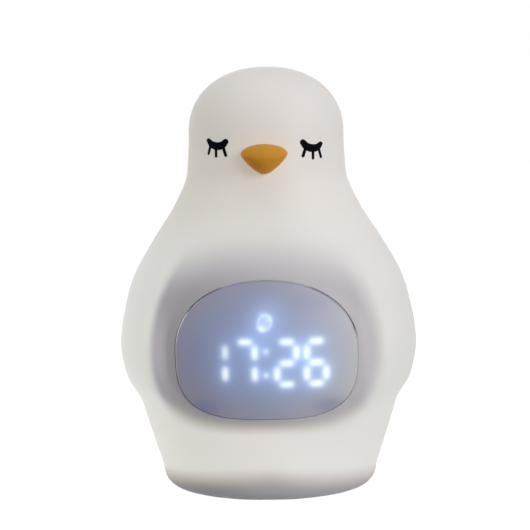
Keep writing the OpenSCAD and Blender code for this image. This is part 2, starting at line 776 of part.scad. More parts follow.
// Bullet-shaped diffuser that also holds the head of the skin up
module diffuser() {
    top = touch_z - touch_t;
    shoulder = 16;
    function profile(r, crown) = concat(
        [[0, crown]],
        [for (a = [0:15:90]) [mix(touch_r, r, sin(a)), crown - shoulder * (1 - cos(a))]]
    );
    color("white", 0.6) difference() {
        union() {
            rotate_extrude($fn = 96)
                polygon(concat(profile(diffuser_r, top), [[diffuser_r, light_z], [0, light_z]]));
            translate([0, 0, light_z]) cylinder(r = diffuser_r + diffuser_foot_w, h = foot_h, $fn = 96);
        }
        rotate_extrude($fn = 96) polygon(concat(
            profile(diffuser_r - diffuser_t, top - diffuser_t),
            [[diffuser_r - diffuser_t, light_z - 1], [0, light_z - 1]]
        ));
        translate([0, 0, top - 5]) cylinder(r = lead_r + fit, h = 10, $fn = 24);
        at_diffuser_screws() screw_hole_z(light_z - 1, light_z + foot_h + 1);
        translate([light_board_r, -ribbon_w / 2 - 0.5, light_z - 1])
            cube([2 * diffuser_foot_w, ribbon_w + 1, 1 + ribbon_t + fit]);
    }
}

module diffuser_screws() {
    color("silver") at_diffuser_screws() translate([0, 0, light_z + foot_h]) screw(deck_t + foot_h);
}

module touch_plate() {
    color("peru") translate([0, 0, touch_z - touch_t]) cylinder(r = touch_r, h = touch_t, $fn = 72);
}

module touch_lead() {
    color("firebrick") translate([0, 0, light_z])
        cylinder(r = lead_r, h = touch_z - touch_t - light_z, $fn = 24);
}

// Flat cable from the main board up to the night light
module light_ribbon() {
    bend = 1.5;
    low = main_board_z + board_t + ribbon_t / 2;
    high = light_z + ribbon_t / 2;
    path = concat(
        [[light_ribbon_x - 3 * bend, low]],
        turn([light_ribbon_x - bend, low + bend], bend, 270, 360),
        turn([light_ribbon_x - bend, high - bend], bend, 0, 90),
        [[light_board_r, high]]
    );
    color("ivory") translate([0, ribbon_w / 2, 0]) rotate([90, 0, 0])
        linear_extrude(ribbon_w) polygon(strip(path, ribbon_t));
}

// ---------------------------------------------------------------- rear panel

function panel_outline(grow) =
    two_part(panel_w / 2 + grow, panel_h / 2 + grow, panel_h / 2 + grow, [panel_power, panel_power], 64);
button_places = [
    ["light", 0, row_high], ["minus", -button_x, row_high], ["plus", button_x, row_high],
    ["clock", -button_x, row_low], ["alarm", button_x, row_low]
];
function button_r(name) = (name == "light" ? light_button_d : small_button_d) / 2;

module rear_panel() {
    color("white") difference() {
        union() {
            along_y(panel_inner_y, panel_y) polygon(lifted(panel_outline(0), panel_z));
            at_panel_posts() rod_y(0, 0, post_r, frame_rear, panel_inner_y + eps);
            at_board_posts() rod_y(0, 0, screw_r + 0.9, button_board_y, panel_inner_y + eps);
            difference() {
                rod_y(0, speaker_z, speaker_d / 2 + 1.3, panel_inner_y - 2, panel_inner_y + eps);
                rod_y(0, speaker_z, speaker_d / 2 + fit, panel_inner_y - 3, panel_inner_y);
            }
        }
        at_panel_posts() {
            screw_hole_y(frame_rear - 1, panel_y + 1);
            rod_y(0, 0, screw_head_r + fit, panel_y - screw_sink, panel_y + 1);
        }
        at_board_posts() screw_hole_y(button_board_y - 1, button_board_y + 5);
        for (b = button_places) rod_y(b[1], b[2], button_r(b[0]) + slide_gap, panel_inner_y - 1, panel_y + 1);
        along_y(panel_inner_y - 1, panel_y + 1) pill(usb_size[0] + 0.8, usb_size[1] + 0.8, row_low);
        grille();
    }
}

// Rings of small holes in front of the loudspeaker
module grille() {
    for (ring = [0:3], k = [0:max(6 * ring - 1, 0)]) rotate_about_speaker(60 * k / max(ring, 1))
        rod_y(grille_pitch * ring, speaker_z, 0.8, panel_inner_y - 1, panel_y + 1);
}

module rotate_about_speaker(a) {
    translate([0, 0, speaker_z]) rotate([0, a, 0]) translate([0, 0, -speaker_z]) children();
}

module at_board_posts() {
    both_sides() for (p = board_posts) translate([p[0], 0, p[1]]) children();
}

// A slot with round ends, drawn in X and Z
module pill(w, h, z) {
    translate([-(w - h) / 2, z - h / 2]) square([w - h, h]);
    for (side = [-1, 1]) translate([side * (w - h) / 2, z]) circle(r = h / 2, $fn = 36);
}

module panel_screws() {
    color("silver") at_panel_posts() translate([0, panel_y - screw_sink, 0]) rotate([-90, 0, 0])
        screw(panel_y - screw_sink - frame_rear + bar_t - 0.2);
}

module button_board() {
    low = panel_posts[0][1] + post_r + 0.4;
    high = board_posts[0][1] + screw_head_r;
    half_w = button_x + switch_w / 2 + 2.5;
    color("seagreen") difference() {
        translate([-half_w, button_board_y - board_t, low]) cube([2 * half_w, board_t, high - low]);
        at_board_posts() screw_hole_y(button_board_y - board_t - 1, button_board_y + 1);
    }
}

module button_board_screws() {
    color("silver") at_board_posts() translate([0, button_board_y - board_t, 0]) rotate([90, 0, 0])
        screw(board_t + 4);
}

// One square switch housing behind each button, with the bore that its plunger runs in
module switch_housings() {
    color("dimgray") for (b = button_places) difference() {
        translate([b[1] - switch_w / 2, button_board_y, b[2] - switch_w / 2])
            cube([switch_w, switch_h, switch_w]);
        rod_y(b[1], b[2], plunger_r + slide_gap, button_board_y + 0.6, button_board_y + switch_h + 1);
    }
}

// A button cap: round head, retaining flange, and a shallow finger dish
module button_cap(name) {
    b = [for (p = button_places) if (p[0] == name) p][0];
    r = button_r(name);
    top = panel_y + button_proud;
    edge = 0.5;
    dish = 2.2 * r;
    color(name == "light" ? "gold" : "lightgray") difference() {
        union() {
            rod_y(b[1], b[2], r + flange_reach, flange_y - flange_t, flange_y);
            rod_y(b[1], b[2], r, flange_y - eps, top - edge);
            translate([b[1], top, b[2]]) rotate([90, 0, 0]) cylinder(r1 = r - edge, r2 = r, h = edge, $fn = 48);
        }
        translate([b[1], top + sqrt(dish * dish - pow(r - 1, 2)), b[2]]) sphere(r = dish, $fn = 96);
    }
}

module plunger(name) {
    b = [for (p = button_places) if (p[0] == name) p][0];
    color("dimgray")
        rod_y(b[1], b[2], plunger_r, button_board_y + switch_h - plunger_deep, flange_y - flange_t);
}

// USB-C socket that stands on the button board and ends just inside the panel's face
module usb_socket() {
    floor_y = button_board_y + 3;
    hole = usb_size - 2 * [usb_wall, usb_wall];
    tongue = [6.6, 0.7];
    color("silver") difference() {
        along_y(button_board_y, panel_y - 0.4) pill(usb_size[0], usb_size[1], row_low);
        along_y(floor_y, panel_y) pill(hole[0], hole[1], row_low);
    }
    color("dimgray") translate([-tongue[0] / 2, floor_y - eps, row_low - tongue[1] / 2])
        cube([tongue[0], panel_y - 1.4 - floor_y, tongue[1]]);
}

// ---------------------------------------------------------------- loudspeaker

// Turns a profile drawn as radius and distance in front of the magnet side about the speaker's axis
module speaker_turned() {
    translate([0, panel_inner_y, speaker_z]) rotate([90, 0, 0]) rotate_extrude($fn = 96) children();
}

module speaker_basket() {
    r = speaker_d / 2;
    color("dimgray") speaker_turned() polygon([
        [r - rim_w, 0], [r, 0], [r, rim_t], [r - rim_w + basket_t / 2, rim_t], [r - basket_taper, speaker_depth],
        [0, speaker_depth], [0, coil_end], [r - basket_taper - 0.75 * basket_t, coil_end],
        [r - rim_w - basket_t / 2, rim_t], [r - rim_w, rim_t]
    ]);
}

module speaker_cone() {
    r = speaker_d / 2 - rim_w - cone_gap;
    color("black") speaker_turned() polygon([
        [0, cone_depth - cap_rise], [coil_r, cone_depth], [r - roll_w, rim_t - paper_t],
        [r - 0.6 * roll_w, rim_t - 2 * paper_t], [r, rim_t - paper_t], [r, rim_t],
        [r - 0.6 * roll_w, rim_t - paper_t], [r - roll_w, rim_t], [coil_r + coil_t, cone_depth + coil_t],
        [coil_r, coil_end], [coil_r - coil_t, coil_end], [coil_r - coil_t, cone_depth + paper_t],
        [0, cone_depth - cap_rise + paper_t]
    ]);
}

module speaker_magnet() {
    color("silver") rod_y(0, speaker_z, magnet_r, speaker_back_y - magnet_h, speaker_back_y);
}

// Two wires from the loudspeaker down to the main board
module speaker_lead() {
    bend = 5;
    r = 0.5;
    foot_z = main_board_z + board_t;
    wire_y = frame_rear - bar_t - 1.5;
    color("firebrick") for (x = [-1, 1]) translate([x * 0.7 + 3, 0, 0]) {
        rod_y(0, speaker_z - 4, r, wire_y + bend, speaker_back_y - magnet_h);
        translate([0, wire_y + bend, speaker_z - 4 - bend]) rotate([0, -90, 0])
            rotate_extrude(angle = -90, $fn = 48) translate([bend, 0]) circle(r = r, $fn = 24);
        translate([0, wire_y, foot_z]) cylinder(r = r, h = speaker_z - 4 - bend - foot_z, $fn = 24);
    }
}

// ---------------------------------------------------------------- base

cap_r = cap_d / 2;
plate_z = foot_proud + 0.3; // lower face of the base plate, just above the skin's lower edge
ledge_z = plate_z + cap_t + 0.2;

module base_plate() {
    color("whitesmoke") difference() {
        union() {
            translate([0, 0, plate_z]) linear_extrude(floor_z - plate_z) polygon(base_outline(-seam_gap));
            translate([0, 0, floor_z - plate_t]) linear_extrude(plate_t) polygon(base_outline(flange_w));
        }
        translate([0, 0, plate_z - 1]) cylinder(r = cap_r + slide_gap, h = ledge_z - plate_z + 1, $fn = 96);
        translate([0, 0, plate_z]) cylinder(r = cap_r - cap_neck + slide_gap, h = floor_z, $fn = 96);
        bayonet_notches();
        at_base_screws() {
            translate([0, 0, plate_z - 1]) cylinder(r = screw_head_r + fit, h = 1 + screw_sink, $fn = 32);
            screw_hole_z(plate_z, floor_z + 1);
        }
        at_feet() translate([0, 0, plate_z - 1]) cylinder(r = foot_d / 2 + fit, h = 1 + foot_sink, $fn = 48);
        translate([-switch_slot() / 2, switch_y - knob_d / 2 - slide_gap, plate_z - 1])
            cube([switch_slot(), knob_d + 2 * slide_gap, floor_z]);
    }
}

// The two gaps that let the cap's lugs in, at the open end of its turn
module bayonet_notches() {
    for (a = [0, 180]) rotate([0, 0, a + cap_turn])
        lug_sector(lug_angle + 4, cap_r - cap_neck + lug_reach + 0.3, plate_z, floor_z + 1);
}

// A slice of a disc, between two heights
module lug_sector(angle, r, z0, z1) {
    translate([0, 0, z0]) linear_extrude(z1 - z0)
        polygon(concat([[0, 0]], [for (k = [-4:4]) r * [cos(k * angle / 8), sin(k * angle / 8)]]));
}

module battery_cap() {
    neck_r = cap_r - cap_neck;
    color("lightgray") difference() {
        union() {
            translate([0, 0, plate_z]) cylinder(r = cap_r, h = cap_t, $fn = 96);
            translate([0, 0, plate_z]) cylinder(r = neck_r, h = cell_z - fit - plate_z, $fn = 96);
            for (a = [0, 180]) rotate([0, 0, a])
                lug_sector(lug_angle, neck_r + lug_reach, floor_z + fit, cell_z - fit);
        }
        rotate([0, 0, 90]) translate([-8, -1, plate_z - 1]) cube([16, 2, 2]);
        seal_ring();
    }
}

seal_r = 0.5;

module seal_ring() {
    translate([0, 0, ledge_z - seal_r - 0.02]) rotate_extrude($fn = 96)
        translate([cap_r - cap_neck + slide_gap + seal_r + 0.05, 0]) circle(r = seal_r, $fn = 24);
}

module cap_seal() {
    color("black") seal_ring();
}

module coin_cell() {
    color("silver") {
        translate([0, 0, cell_z]) cylinder(r = cell_r - 1.2, h = cell_h, $fn = 72);
        translate([0, 0, cell_z + 0.4]) cylinder(r = cell_r, h = cell_h - 0.4, $fn = 72);
    }
}

// Ring under the main board with the contact that presses on the cell
module cell_holder() {
    low = cell_z + 0.3;
    roof_z = main_board_z - 1.6;
    cell_top = cell_z + cell_h;
    color("dimgray") difference() {
        translate([0, 0, low]) cylinder(r = cell_r + 2, h = main_board_z - low, $fn = 72);
        translate([0, 0, low - 1]) cylinder(r = cell_r + slide_gap, h = roof_z - low + 1, $fn = 72);
    }
    color("gold") translate([0, 0, cell_top]) cylinder(r = 2, h = roof_z - cell_top + eps, $fn = 36);
}

module base_screws() {
    seat = plate_z + screw_sink;
    color("silver") at_base_screws() translate([0, 0, seat]) rotate([180, 0, 0])
        screw(floor_z + plate_t + screw_grip - seat);
}

module rubber_feet() {
    color("darkgray") at_feet() cylinder(r = foot_d / 2, h = plate_z + foot_sink, $fn = 48);
}

module at_feet() {
    both_sides() for (y = [-foot_front, foot_back]) translate([foot_x, y, 0]) children();
}

module power_switch_housing() {
    w = switch_slot() + 3;
    d = knob_d + 2.4;
    color("dimgray") difference() {
        translate([-w / 2, switch_y - d / 2, floor_z + plate_t]) cube([w, d, boss_h]);
        translate([-switch_slot() / 2, switch_y - knob_d / 2 - slide_gap, floor_z + plate_t - 1])
            cube([switch_slot(), knob_d + 2 * slide_gap, 5]);
    }
}

// The knob rests at the "off" end of its slot and slides towards +X
module power_switch_knob() {
    x = -switch_travel / 2 - knob_w / 2;
    low = plate_z + 0.4;
    color("dimgray") difference() {
        translate([x, switch_y - knob_d / 2, low]) cube([knob_w, knob_d, floor_z + plate_t + 3.6 - low]);
        for (k = [-1:1]) translate([x + knob_w / 2 + k - 0.2, switch_y - knob_d, plate_z])
            cube([0.4, 2 * knob_d, 0.8]);
    }
}

// ---------------------------------------------------------------- output

skin();
eye_left();
eye_right();
beak();
display_lens();
display_housing();
digit_block();
segment_light_guides();
display_board();
display_leds();
display_board_screws();
housing_screws();
display_ribbon();
frame();
main_board();
board_components();
main_board_screws();
night_light_board();
night_light_leds();
diffuser();
diffuser_screws();
touch_plate();
touch_lead();
light_ribbon();
rear_panel();
panel_screws();
button_board();
button_board_screws();
switch_housings();
usb_socket();
speaker_basket();
speaker_cone();
speaker_magnet();
speaker_lead();
button_cap("light");  // light_button
plunger("light");  // light_plunger
button_cap("minus");  // minus_button
plunger("minus");  // minus_plunger
button_cap("plus");  // plus_button
plunger("plus");  // plus_plunger
button_cap("clock");  // clock_button
plunger("clock");  // clock_plunger
button_cap("alarm");  // alarm_button
plunger("alarm");  // alarm_plunger
base_plate();
base_screws();
rubber_feet();
battery_cap();
cap_seal();
coin_cell();
cell_holder();
power_switch_housing();
power_switch_knob();
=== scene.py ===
"""A night-light alarm clock shaped like a sleeping bird: skin, face, display and finishes.

Lengths are in metres. +Z is up, the display faces -Y and the origin is on the table under the middle.
"""

import json
import math

import bmesh
import bpy
import numpy as np
from bpy.props import FloatProperty, FloatVectorProperty, PointerProperty
from mathutils import Matrix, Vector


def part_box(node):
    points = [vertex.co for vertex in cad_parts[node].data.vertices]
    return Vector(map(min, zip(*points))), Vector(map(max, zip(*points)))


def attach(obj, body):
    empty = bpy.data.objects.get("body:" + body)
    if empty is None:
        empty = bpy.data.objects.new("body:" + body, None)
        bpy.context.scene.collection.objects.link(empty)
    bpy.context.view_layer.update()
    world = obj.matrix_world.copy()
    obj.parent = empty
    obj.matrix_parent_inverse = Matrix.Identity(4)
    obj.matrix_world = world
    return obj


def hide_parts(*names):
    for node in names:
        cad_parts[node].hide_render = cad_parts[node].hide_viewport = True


bl_info = {
    "name": "Sleeping Bird Clock",
    "version": (1, 0, 0),
    "blender": (4, 5, 0),
    "location": "3D View > Sidebar > Bird Clock",
    "description": "Builds the skin, face, display and finishes of a night-light alarm clock",
    "category": "Add Mesh",
}

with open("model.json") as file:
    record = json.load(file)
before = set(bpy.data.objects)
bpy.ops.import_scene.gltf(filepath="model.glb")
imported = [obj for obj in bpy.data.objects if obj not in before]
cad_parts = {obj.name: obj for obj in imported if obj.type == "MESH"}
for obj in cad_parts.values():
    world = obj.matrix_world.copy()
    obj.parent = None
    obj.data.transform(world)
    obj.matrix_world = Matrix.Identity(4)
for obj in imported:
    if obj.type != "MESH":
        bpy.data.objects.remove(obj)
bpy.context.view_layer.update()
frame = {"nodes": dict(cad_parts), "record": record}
BODY = "clock_body"
MM = 0.001
TURN = 2 * math.pi
BISECTIONS = 40
SENSOR_W = 36


# ---- settings


def length(name, description, millimetres):
    """A length that a user may change; the default is written in millimetres."""
    return FloatProperty(
        name=name, description=description, default=millimetres * MM, unit="LENGTH", precision=5
    )


def number(name, description, default, unit="NONE"):
    """A number that a user may change."""
    return FloatProperty(name=name, description=description, default=default, precision=3, unit=unit)


def angle(name, description, degrees):
    """An angle that a user may change; the default is written in degrees."""
    return FloatProperty(
        name=name, description=description, default=math.radians(degrees), subtype="ANGLE"
    )


def colour(name, description, *default):
    """A linear colour that a user may change."""
    return FloatVectorProperty(
        name=name, description=description, size=3, default=default, subtype="COLOR", min=0, max=1
    )


def top_of(node):
    """Height of a CAD node's highest point, in millimetres."""
    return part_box(node)[1][2] / MM


def back_of(node):
    """Depth of a CAD node's rearmost point, in millimetres."""
    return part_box(node)[1][1] / MM


def middle_of(node):
    """Middle of a CAD node's box, in millimetres."""
    low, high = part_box(node)
    return [(a + b) / 2 / MM for a, b in zip(low, high)]


def span_of(node):
    """Sizes of a CAD node's box, in millimetres."""
    low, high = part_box(node)
    return [(b - a) / MM for a, b in zip(low, high)]


class BodySettings(bpy.types.PropertyGroup):
    height: length("Height", "From the table to the crown", top_of("skin"))
    base_w: length("Base Width", "Width at the top of the rounded base", 91.2)
    belly_w: length("Belly Width", "Width of the belly without the flippers", 119.8)
    head_w: length("Head Width", "Width of the head", 65.2)
    belly_z: length("Belly Height", "Height of the belly's widest line", 64.2)
    base_front: length("Base Front", "Depth of the base in front of the middle", 38)
    base_back: length("Base Back", "Depth of the base behind the middle", 43.5)
    belly_front: length("Belly Front", "Depth of the belly in front of the middle", 47.5)
    belly_back: length("Belly Back", "Depth of the belly behind the middle", 47.4)
    head_front: length("Head Front", "Depth of the head in front of the middle", 34.5)
    head_back: length("Head Back", "Depth of the head behind the middle", 34)
    dome_h: length("Dome Height", "Height of the crown's dome", 27.5)
    base_round: length("Base Rounding", "Radius of the rounded lower edge", 9.5)
    foot_proud: length("Foot Height", "Gap between the skin and the table", 1)
    wall: length("Wall", "Wall thickness of the skin", 2.4)
    lip_w: length("Lip Width", "Width of the skin's lip under the base plate", 6)
    flipper_t: length("Flipper Thickness", "What the flippers add to the skin", 2.8)
    cleft: length("Foot Cleft", "Depth of the soft groove between the feet", 0.9)


class DisplaySettings(bpy.types.PropertyGroup):
    width: length("Width", "Width of the display window", span_of("display_lens")[0])
    up: length("Upper Height", "Window height above its widest line", 28.9)
    down: length("Lower Height", "Window height below its widest line", 27.4)
    hollow: length("Hollow Depth", "Depth of the belly hollow at its middle", 1)
    crown_across: length("Crown Across", "Crown radius of the lens across", 72)
    crown_along: length("Crown Along", "Crown radius of the lens up and down", 120)
    proud: length("Lens Proud", "How far the lens stands out of the hollow", 0.5)
    lens_wall: length("Lens Wall", "Wall thickness of the lens", 2)
    gap: length("Seam Gap", "Gap round the lens and the rear panel", 0.3)
    lip: length("Lip Rounding", "Radius of the skin's rounded lips", 0.6)
    digit_h: length("Digit Height", "Height between the outer segments' middles", 17.4)
    digit_w: length("Digit Width", "Width between the columns' middles", 7.8)
    digit_pitch: length("Digit Pitch", "Distance between the digits of a pair", 12)
    colon_pitch: length("Colon Pitch", "Distance between the digits beside the colon", 16.8)
    digits_down: length("Digits Down", "Digits' middle line below the window's widest line", 4.1)
    icon_up: length("Icon Up", "Height of the bell spot above the window's widest line", 12.7)


class FaceSettings(bpy.types.PropertyGroup):
    eye_x: length("Eye Distance", "Distance of each eye from the middle", 19.3)
    eye_z: length("Eye Height", "Height of the eyes", 147)
    eye_skew: length("Eye Skew", "How much lower the right eye sits, and the left one higher", 0.6)
    eye_lean: angle("Eye Lean", "How much each eye is turned in the same sense", 5)
    eye_proud: length("Eye Relief", "How far the eyes stand out of the skin", 0.25)
    beak_z: length("Beak Height", "Height of the beak's widest line", 144.7)
    beak_w: length("Beak Width", "Width of the beak", span_of("beak")[0])
    beak_up: length("Beak Upper Height", "Height of the beak above its widest line", 4.1)
    beak_down: length("Beak Lower Height", "Height of the beak below its widest line", 7.9)
    beak_proud: length("Beak Relief", "How far the beak stands out of the face", 8)
    beak_droop: length("Beak Droop", "How far the tip lies under the widest line", 2)


class PanelSettings(bpy.types.PropertyGroup):
    width: length("Width", "Width of the rear panel", span_of("rear_panel")[0])
    height: length("Height", "Height of the rear panel", span_of("rear_panel")[2])
    middle_z: length("Middle Height", "Height of the panel's middle", middle_of("rear_panel")[2])
    face_y: length("Face", "Distance of the panel's face behind the middle", back_of("rear_panel"))
    margin: length("Niche Margin", "Width of the niche round the panel", 3.6)


class FinishSettings(bpy.types.PropertyGroup):
    silicone: colour("Silicone", "Colour of the skin", 0.735, 0.705, 0.735)
    glow: colour("Glow", "Colour of the night light through the skin", 1.0, 0.98, 0.95)
    glow_strength: number("Glow Strength", "Brightness of the night light", 0.44)
    beak: colour("Beak", "Colour of the beak", 0.66, 0.30, 0.025)
    eye: colour("Eye", "Colour of the eyes", 0.002, 0.002, 0.005)
    lens: colour("Lens", "Colour of the display lens", 0.167, 0.174, 0.23)
    halo: colour("Halo", "Colour of the digits' halo", 0.42, 0.52, 1.0)
    shell: colour("Shell", "Colour of the panel and base plate", 0.72, 0.715, 0.7)


class StageSettings(bpy.types.PropertyGroup):
    azimuth: angle("Azimuth", "Camera's turn to the right of the front", 1.5)
    elevation: angle("Elevation", "Camera's height above the horizon", 6)
    roll: angle("Roll", "Camera's roll", -0.72)
    distance: length("Distance", "Camera's distance from the clock's middle", 800)
    aim_z: length("Aim Height", "Height of the point the camera looks at", 90)
    lens: number("Lens", "Focal length on a 36 mm sensor, in millimetres", 127.7, "CAMERA")
    shift_x: number("Shift X", "Camera shift across", -0.0055)
    shift_y: number("Shift Y", "Camera shift up", 0.0274)
    key: number("Key Light", "Power of the key light in watts", 5.35, "POWER")
    side: number("Side Light", "Power of the light beside the clock in watts", 2.0, "POWER")
    top: number("Top Light", "Power of the light above the clock in watts", 3.3, "POWER")
    ambient: number("Ambient", "Strength of the even light from all round", 0.08)


SETTINGS = {
    "bird_body": BodySettings,
    "bird_display": DisplaySettings,
    "bird_face": FaceSettings,
    "bird_panel": PanelSettings,
    "bird_finish": FinishSettings,
    "bird_stage": StageSettings,
}


# ---- shape functions


def ease(low, high, x):
    """Smooth step: 0 below low, 1 above high, 3t^2 - 2t^3 between them."""
    t = np.clip((x - low) / (high - low), 0, 1)
    return t * t * (3 - 2 * t)


def mix(a, b, t):
    """The value a share t of the way from a to b."""
    return a + (b - a) * t


def hermite(t, a, slope_a, b, slope_b):
    """The cubic from a to b over t from 0 to 1, with its slopes at both ends."""
    return (
        (2 * t**3 - 3 * t**2 + 1) * a
        + (t**3 - 2 * t**2 + t) * slope_a
        + (3 * t**2 - 2 * t**3) * b
        + (t**3 - t**2) * slope_b
    )


def super_radius(a, b, n):
    """(|a|^n + |b|^n)^(1/n), which is 1 on a superellipse of unit size."""
    return (np.abs(a) ** n + np.abs(b) ** n) ** (1 / n)


def superellipse(theta, half_w, half_up, half_down, power_up, power_down):
    """Points at polar angle theta of |x/a|^n + |z/b|^n = 1, with its own b and n above and below."""
    up = np.sin(theta) >= 0
    n = np.where(up, power_up, power_down)
    b = np.where(up, half_up, half_down)
    r = 1 / super_radius(np.cos(theta) / half_w, np.sin(theta) / b, n)
    return r * np.cos(theta), r * np.sin(theta)


class BodyForm:
    """The body: superellipse rings whose sizes run through stations on monotone cubics."""

    # Exponents of the superellipses
    NICHE_POWER = PANEL_POWER = 5
    HOLLOW_POWER = 3.2
    WINDOW_POWERS = (2.1, 3.27)
    DOME_POWER = 2.18
    BASE_POWER = 2.45
    FRONT_TAPER = 0.65
    # Stations: share of the height, share of the belly's width, front and back depth, exponent
    LOWER = ((0, 0, 0, 0, 2.45), (0.55, 0.62, 0.6, 0.6, 2.45), (1, 1, 1, 1, 2.45))
    UPPER = (
        (0.24, 0.872, 0.93, 0.98, 2.4),
        (0.485, 0.526, 0.62, 0.78, 2.3),
        (0.66, 0.225, 0.24, 0.42, 2.2),
        (0.82, 0.03, 0, 0.12, 2.15),
        (1, 0, 0, 0, 2.15),
    )
    # Flipper: rise of its tip above the base and of its root above the neck, its rear edge and bow, its fades
    TIP_RISE, ROOT_RISE = 28 * MM, 22 * MM
    REAR, BOW = 9 * MM, 9 * MM
    ROOT_FADE, TIP_FADE, REAR_FADE = 36 * MM, 12 * MM, 10 * MM
    # Hollow: what it adds to the window's width, above and below it, and its fades to the side, up and down
    HOLLOW_W, HOLLOW_UP, HOLLOW_DOWN = 27 * MM, 17 * MM, 7.6 * MM
    HOLLOW_FADES = (0.2, 0.5, 0.24)
    NICHE_FADE = 0.1
    # Cleft between the feet: half width, and the heights at which it starts and is full
    CLEFT_W, CLEFT_TOP, CLEFT_FULL = 7 * MM, 24 * MM, 6 * MM

    def __init__(self, scene):
        self.body = body = scene.bird_body
        self.display = scene.bird_display
        self.panel = scene.bird_panel
        self.display_z = middle_of("display_lens")[2] * MM - (self.display.up - self.display.down) / 2
        self.face_y = self.display.hollow - body.belly_front
        self.base_top = body.foot_proud + body.base_round
        self.head_z = body.height - body.dome_h
        low, wide, high = self.base_top, body.belly_z, self.head_z
        self.flipper_tip = low + self.TIP_RISE
        self.chest_z = mix(wide, high, self.UPPER[0][0])
        self.flipper_root = mix(wide, high, self.UPPER[1][0]) + self.ROOT_RISE
        base = np.array([body.base_w / 2, body.base_front, body.base_back])
        belly = np.array([body.belly_w / 2, body.belly_front, body.belly_back])
        head = np.array([body.head_w / 2, body.head_front, body.head_back])
        rows = [
            [mix(bottom, top, height), *mix(end, belly, np.array(shares)), power]
            for bottom, top, end, stations in ((low, wide, base, self.LOWER), (wide, high, head, self.UPPER))
            for height, *shares, power in stations
        ]
        self.stations = np.array(rows)
        self.slopes = self._slopes()

    def _slopes(self):
        """Slopes at the stations: the weighted harmonic mean of the two neighbouring secants."""
        steps = np.diff(self.stations[:, :1], axis=0)
        secants = np.diff(self.stations[:, 1:], axis=0) / steps
        slopes = np.zeros((len(self.stations), secants.shape[1]))
        slopes[0] = secants[0]
        before, after = secants[:-1], secants[1:]
        same = before * after > 0
        safe_a, safe_b = np.where(same, before, 1), np.where(same, after, 1)
        first, second = steps[:-1], steps[1:]
        blend = 3 * (first + second) / ((2 * second + first) / safe_a + (second + 2 * first) / safe_b)
        slopes[1:-1] = np.where(same, blend, 0)
        return slopes

    def outline(self, z):
        """Half width, front depth, back depth and squareness at heights z, by cubic Hermite."""
        z = np.clip(z, self.base_top, self.head_z)
        heights = self.stations[:, 0]
        i = np.clip(np.searchsorted(heights, z, side="right") - 1, 0, len(heights) - 2)
        step = heights[i + 1] - heights[i]
        t = ((z - heights[i]) / step)[..., None]
        a, b = self.stations[i, 1:], self.stations[i + 1, 1:]
        value = hermite(t, a, self.slopes[i] * step[..., None], b, self.slopes[i + 1] * step[..., None])
        return [value[..., k] for k in range(4)]

    def ring(self, z, inset):
        """The outline inset by a wall, tucked in at the base and tapered over the crown."""
        w, front, back, n = self.outline(z)
        crown = np.clip((z - self.head_z) / (self.body.dome_h - inset), 0, 1)
        taper = (1 - crown**self.DOME_POWER) ** (1 / self.DOME_POWER)
        rounding = self.body.base_round - inset
        low = np.clip((self.base_top - z) / rounding, 0, 1)
        tuck = rounding * (1 - np.sqrt(1 - low * low))
        return [np.maximum((size - inset) * taper - tuck, 1e-6) for size in (w, front, back)] + [n]

    def flipper(self, y, z):
        """Share of the flipper's thickness: a leaf with a soft root, a tip and a bowed rear edge."""
        bow = ease(self.flipper_tip, self.body.belly_z, z) * ease(self.flipper_root, self.chest_z, z)
        rear = self.REAR + self.BOW * bow
        root = ease(self.flipper_root, self.flipper_root - self.ROOT_FADE, z)
        tip = ease(self.flipper_tip, self.flipper_tip + self.TIP_FADE, z)
        return root * tip * ease(rear, rear - self.REAR_FADE, y)

    def display_face(self, x, z):
        """Depth of the hollow's floor, a shallow dome: x^2/2R + z^2/2R behind its apex."""
        across = x * x / (2 * self.display.crown_across)
        along = (z - self.display_z) ** 2 / (2 * self.display.crown_along)
        return self.face_y + across + along

    def hollowed(self, x, y, z, inset):
        """Pushes a front point back to the hollow's floor, with soft sides."""
        floor = self.display_face(x, z) + inset
        dz = z - self.display_z
        up, down = self.display.up + self.HOLLOW_UP, self.display.down + self.HOLLOW_DOWN
        rz = np.abs(dz) / np.where(dz > 0, up, down)
        r = super_radius(2 * x / (self.display.width + self.HOLLOW_W), rz, self.HOLLOW_POWER)
        side, top, bottom = self.HOLLOW_FADES
        fade = mix(side, np.where(dz > 0, top, bottom), (rz / np.maximum(r, 1e-6)) ** 2)
        return np.where(floor > y, mix(y, floor, ease(1, 1 - fade, r)), y)

    def niched(self, x, y, z, inset):
        """Pushes a rear point forward to the flat niche round the panel."""
        panel = self.panel
        floor = panel.face_y - inset
        rx = x / (panel.width / 2 + panel.margin)
        rz = (z - panel.middle_z) / (panel.height / 2 + panel.margin)
        r = super_radius(rx, rz, self.NICHE_POWER)
        return np.where(floor < y, mix(y, floor, ease(1, 1 - self.NICHE_FADE, r)), y)

    def point(self, turn, z, inset=0.0):
        """Points of the skin at polar angle turn and height z; the inner face has no flippers."""
        turn, z = np.broadcast_arrays(turn, z)
        w, front, back, n = self.ring(z, inset)
        c, s = np.cos(turn), np.sin(turn)
        depth = np.where(s < 0, front, back)
        n = n - np.where(s < 0, self.FRONT_TAPER * ease(self.body.belly_z, self.base_top, z), 0)
        r = 1 / super_radius(c / w, s / depth, n)
        x, y = r * c, r * s
        if inset == 0:
            nx = np.sign(x) * np.abs(x / w) ** (n - 1) / w
            ny = np.sign(y) * np.abs(y / depth) ** (n - 1) / depth
            lift = self.body.flipper_t * self.flipper(y, z) / np.hypot(nx, ny)
            x, y = x + nx * lift, y + ny * lift
        fade = ease(self.CLEFT_TOP, self.CLEFT_FULL, z)
        cleft = self.body.cleft * np.exp(-((x / self.CLEFT_W) ** 2)) * fade
        y = np.where(s < 0, self.hollowed(x, y, z, inset) + cleft, self.niched(x, y, z, inset))
        return np.stack([x, y, z], -1)

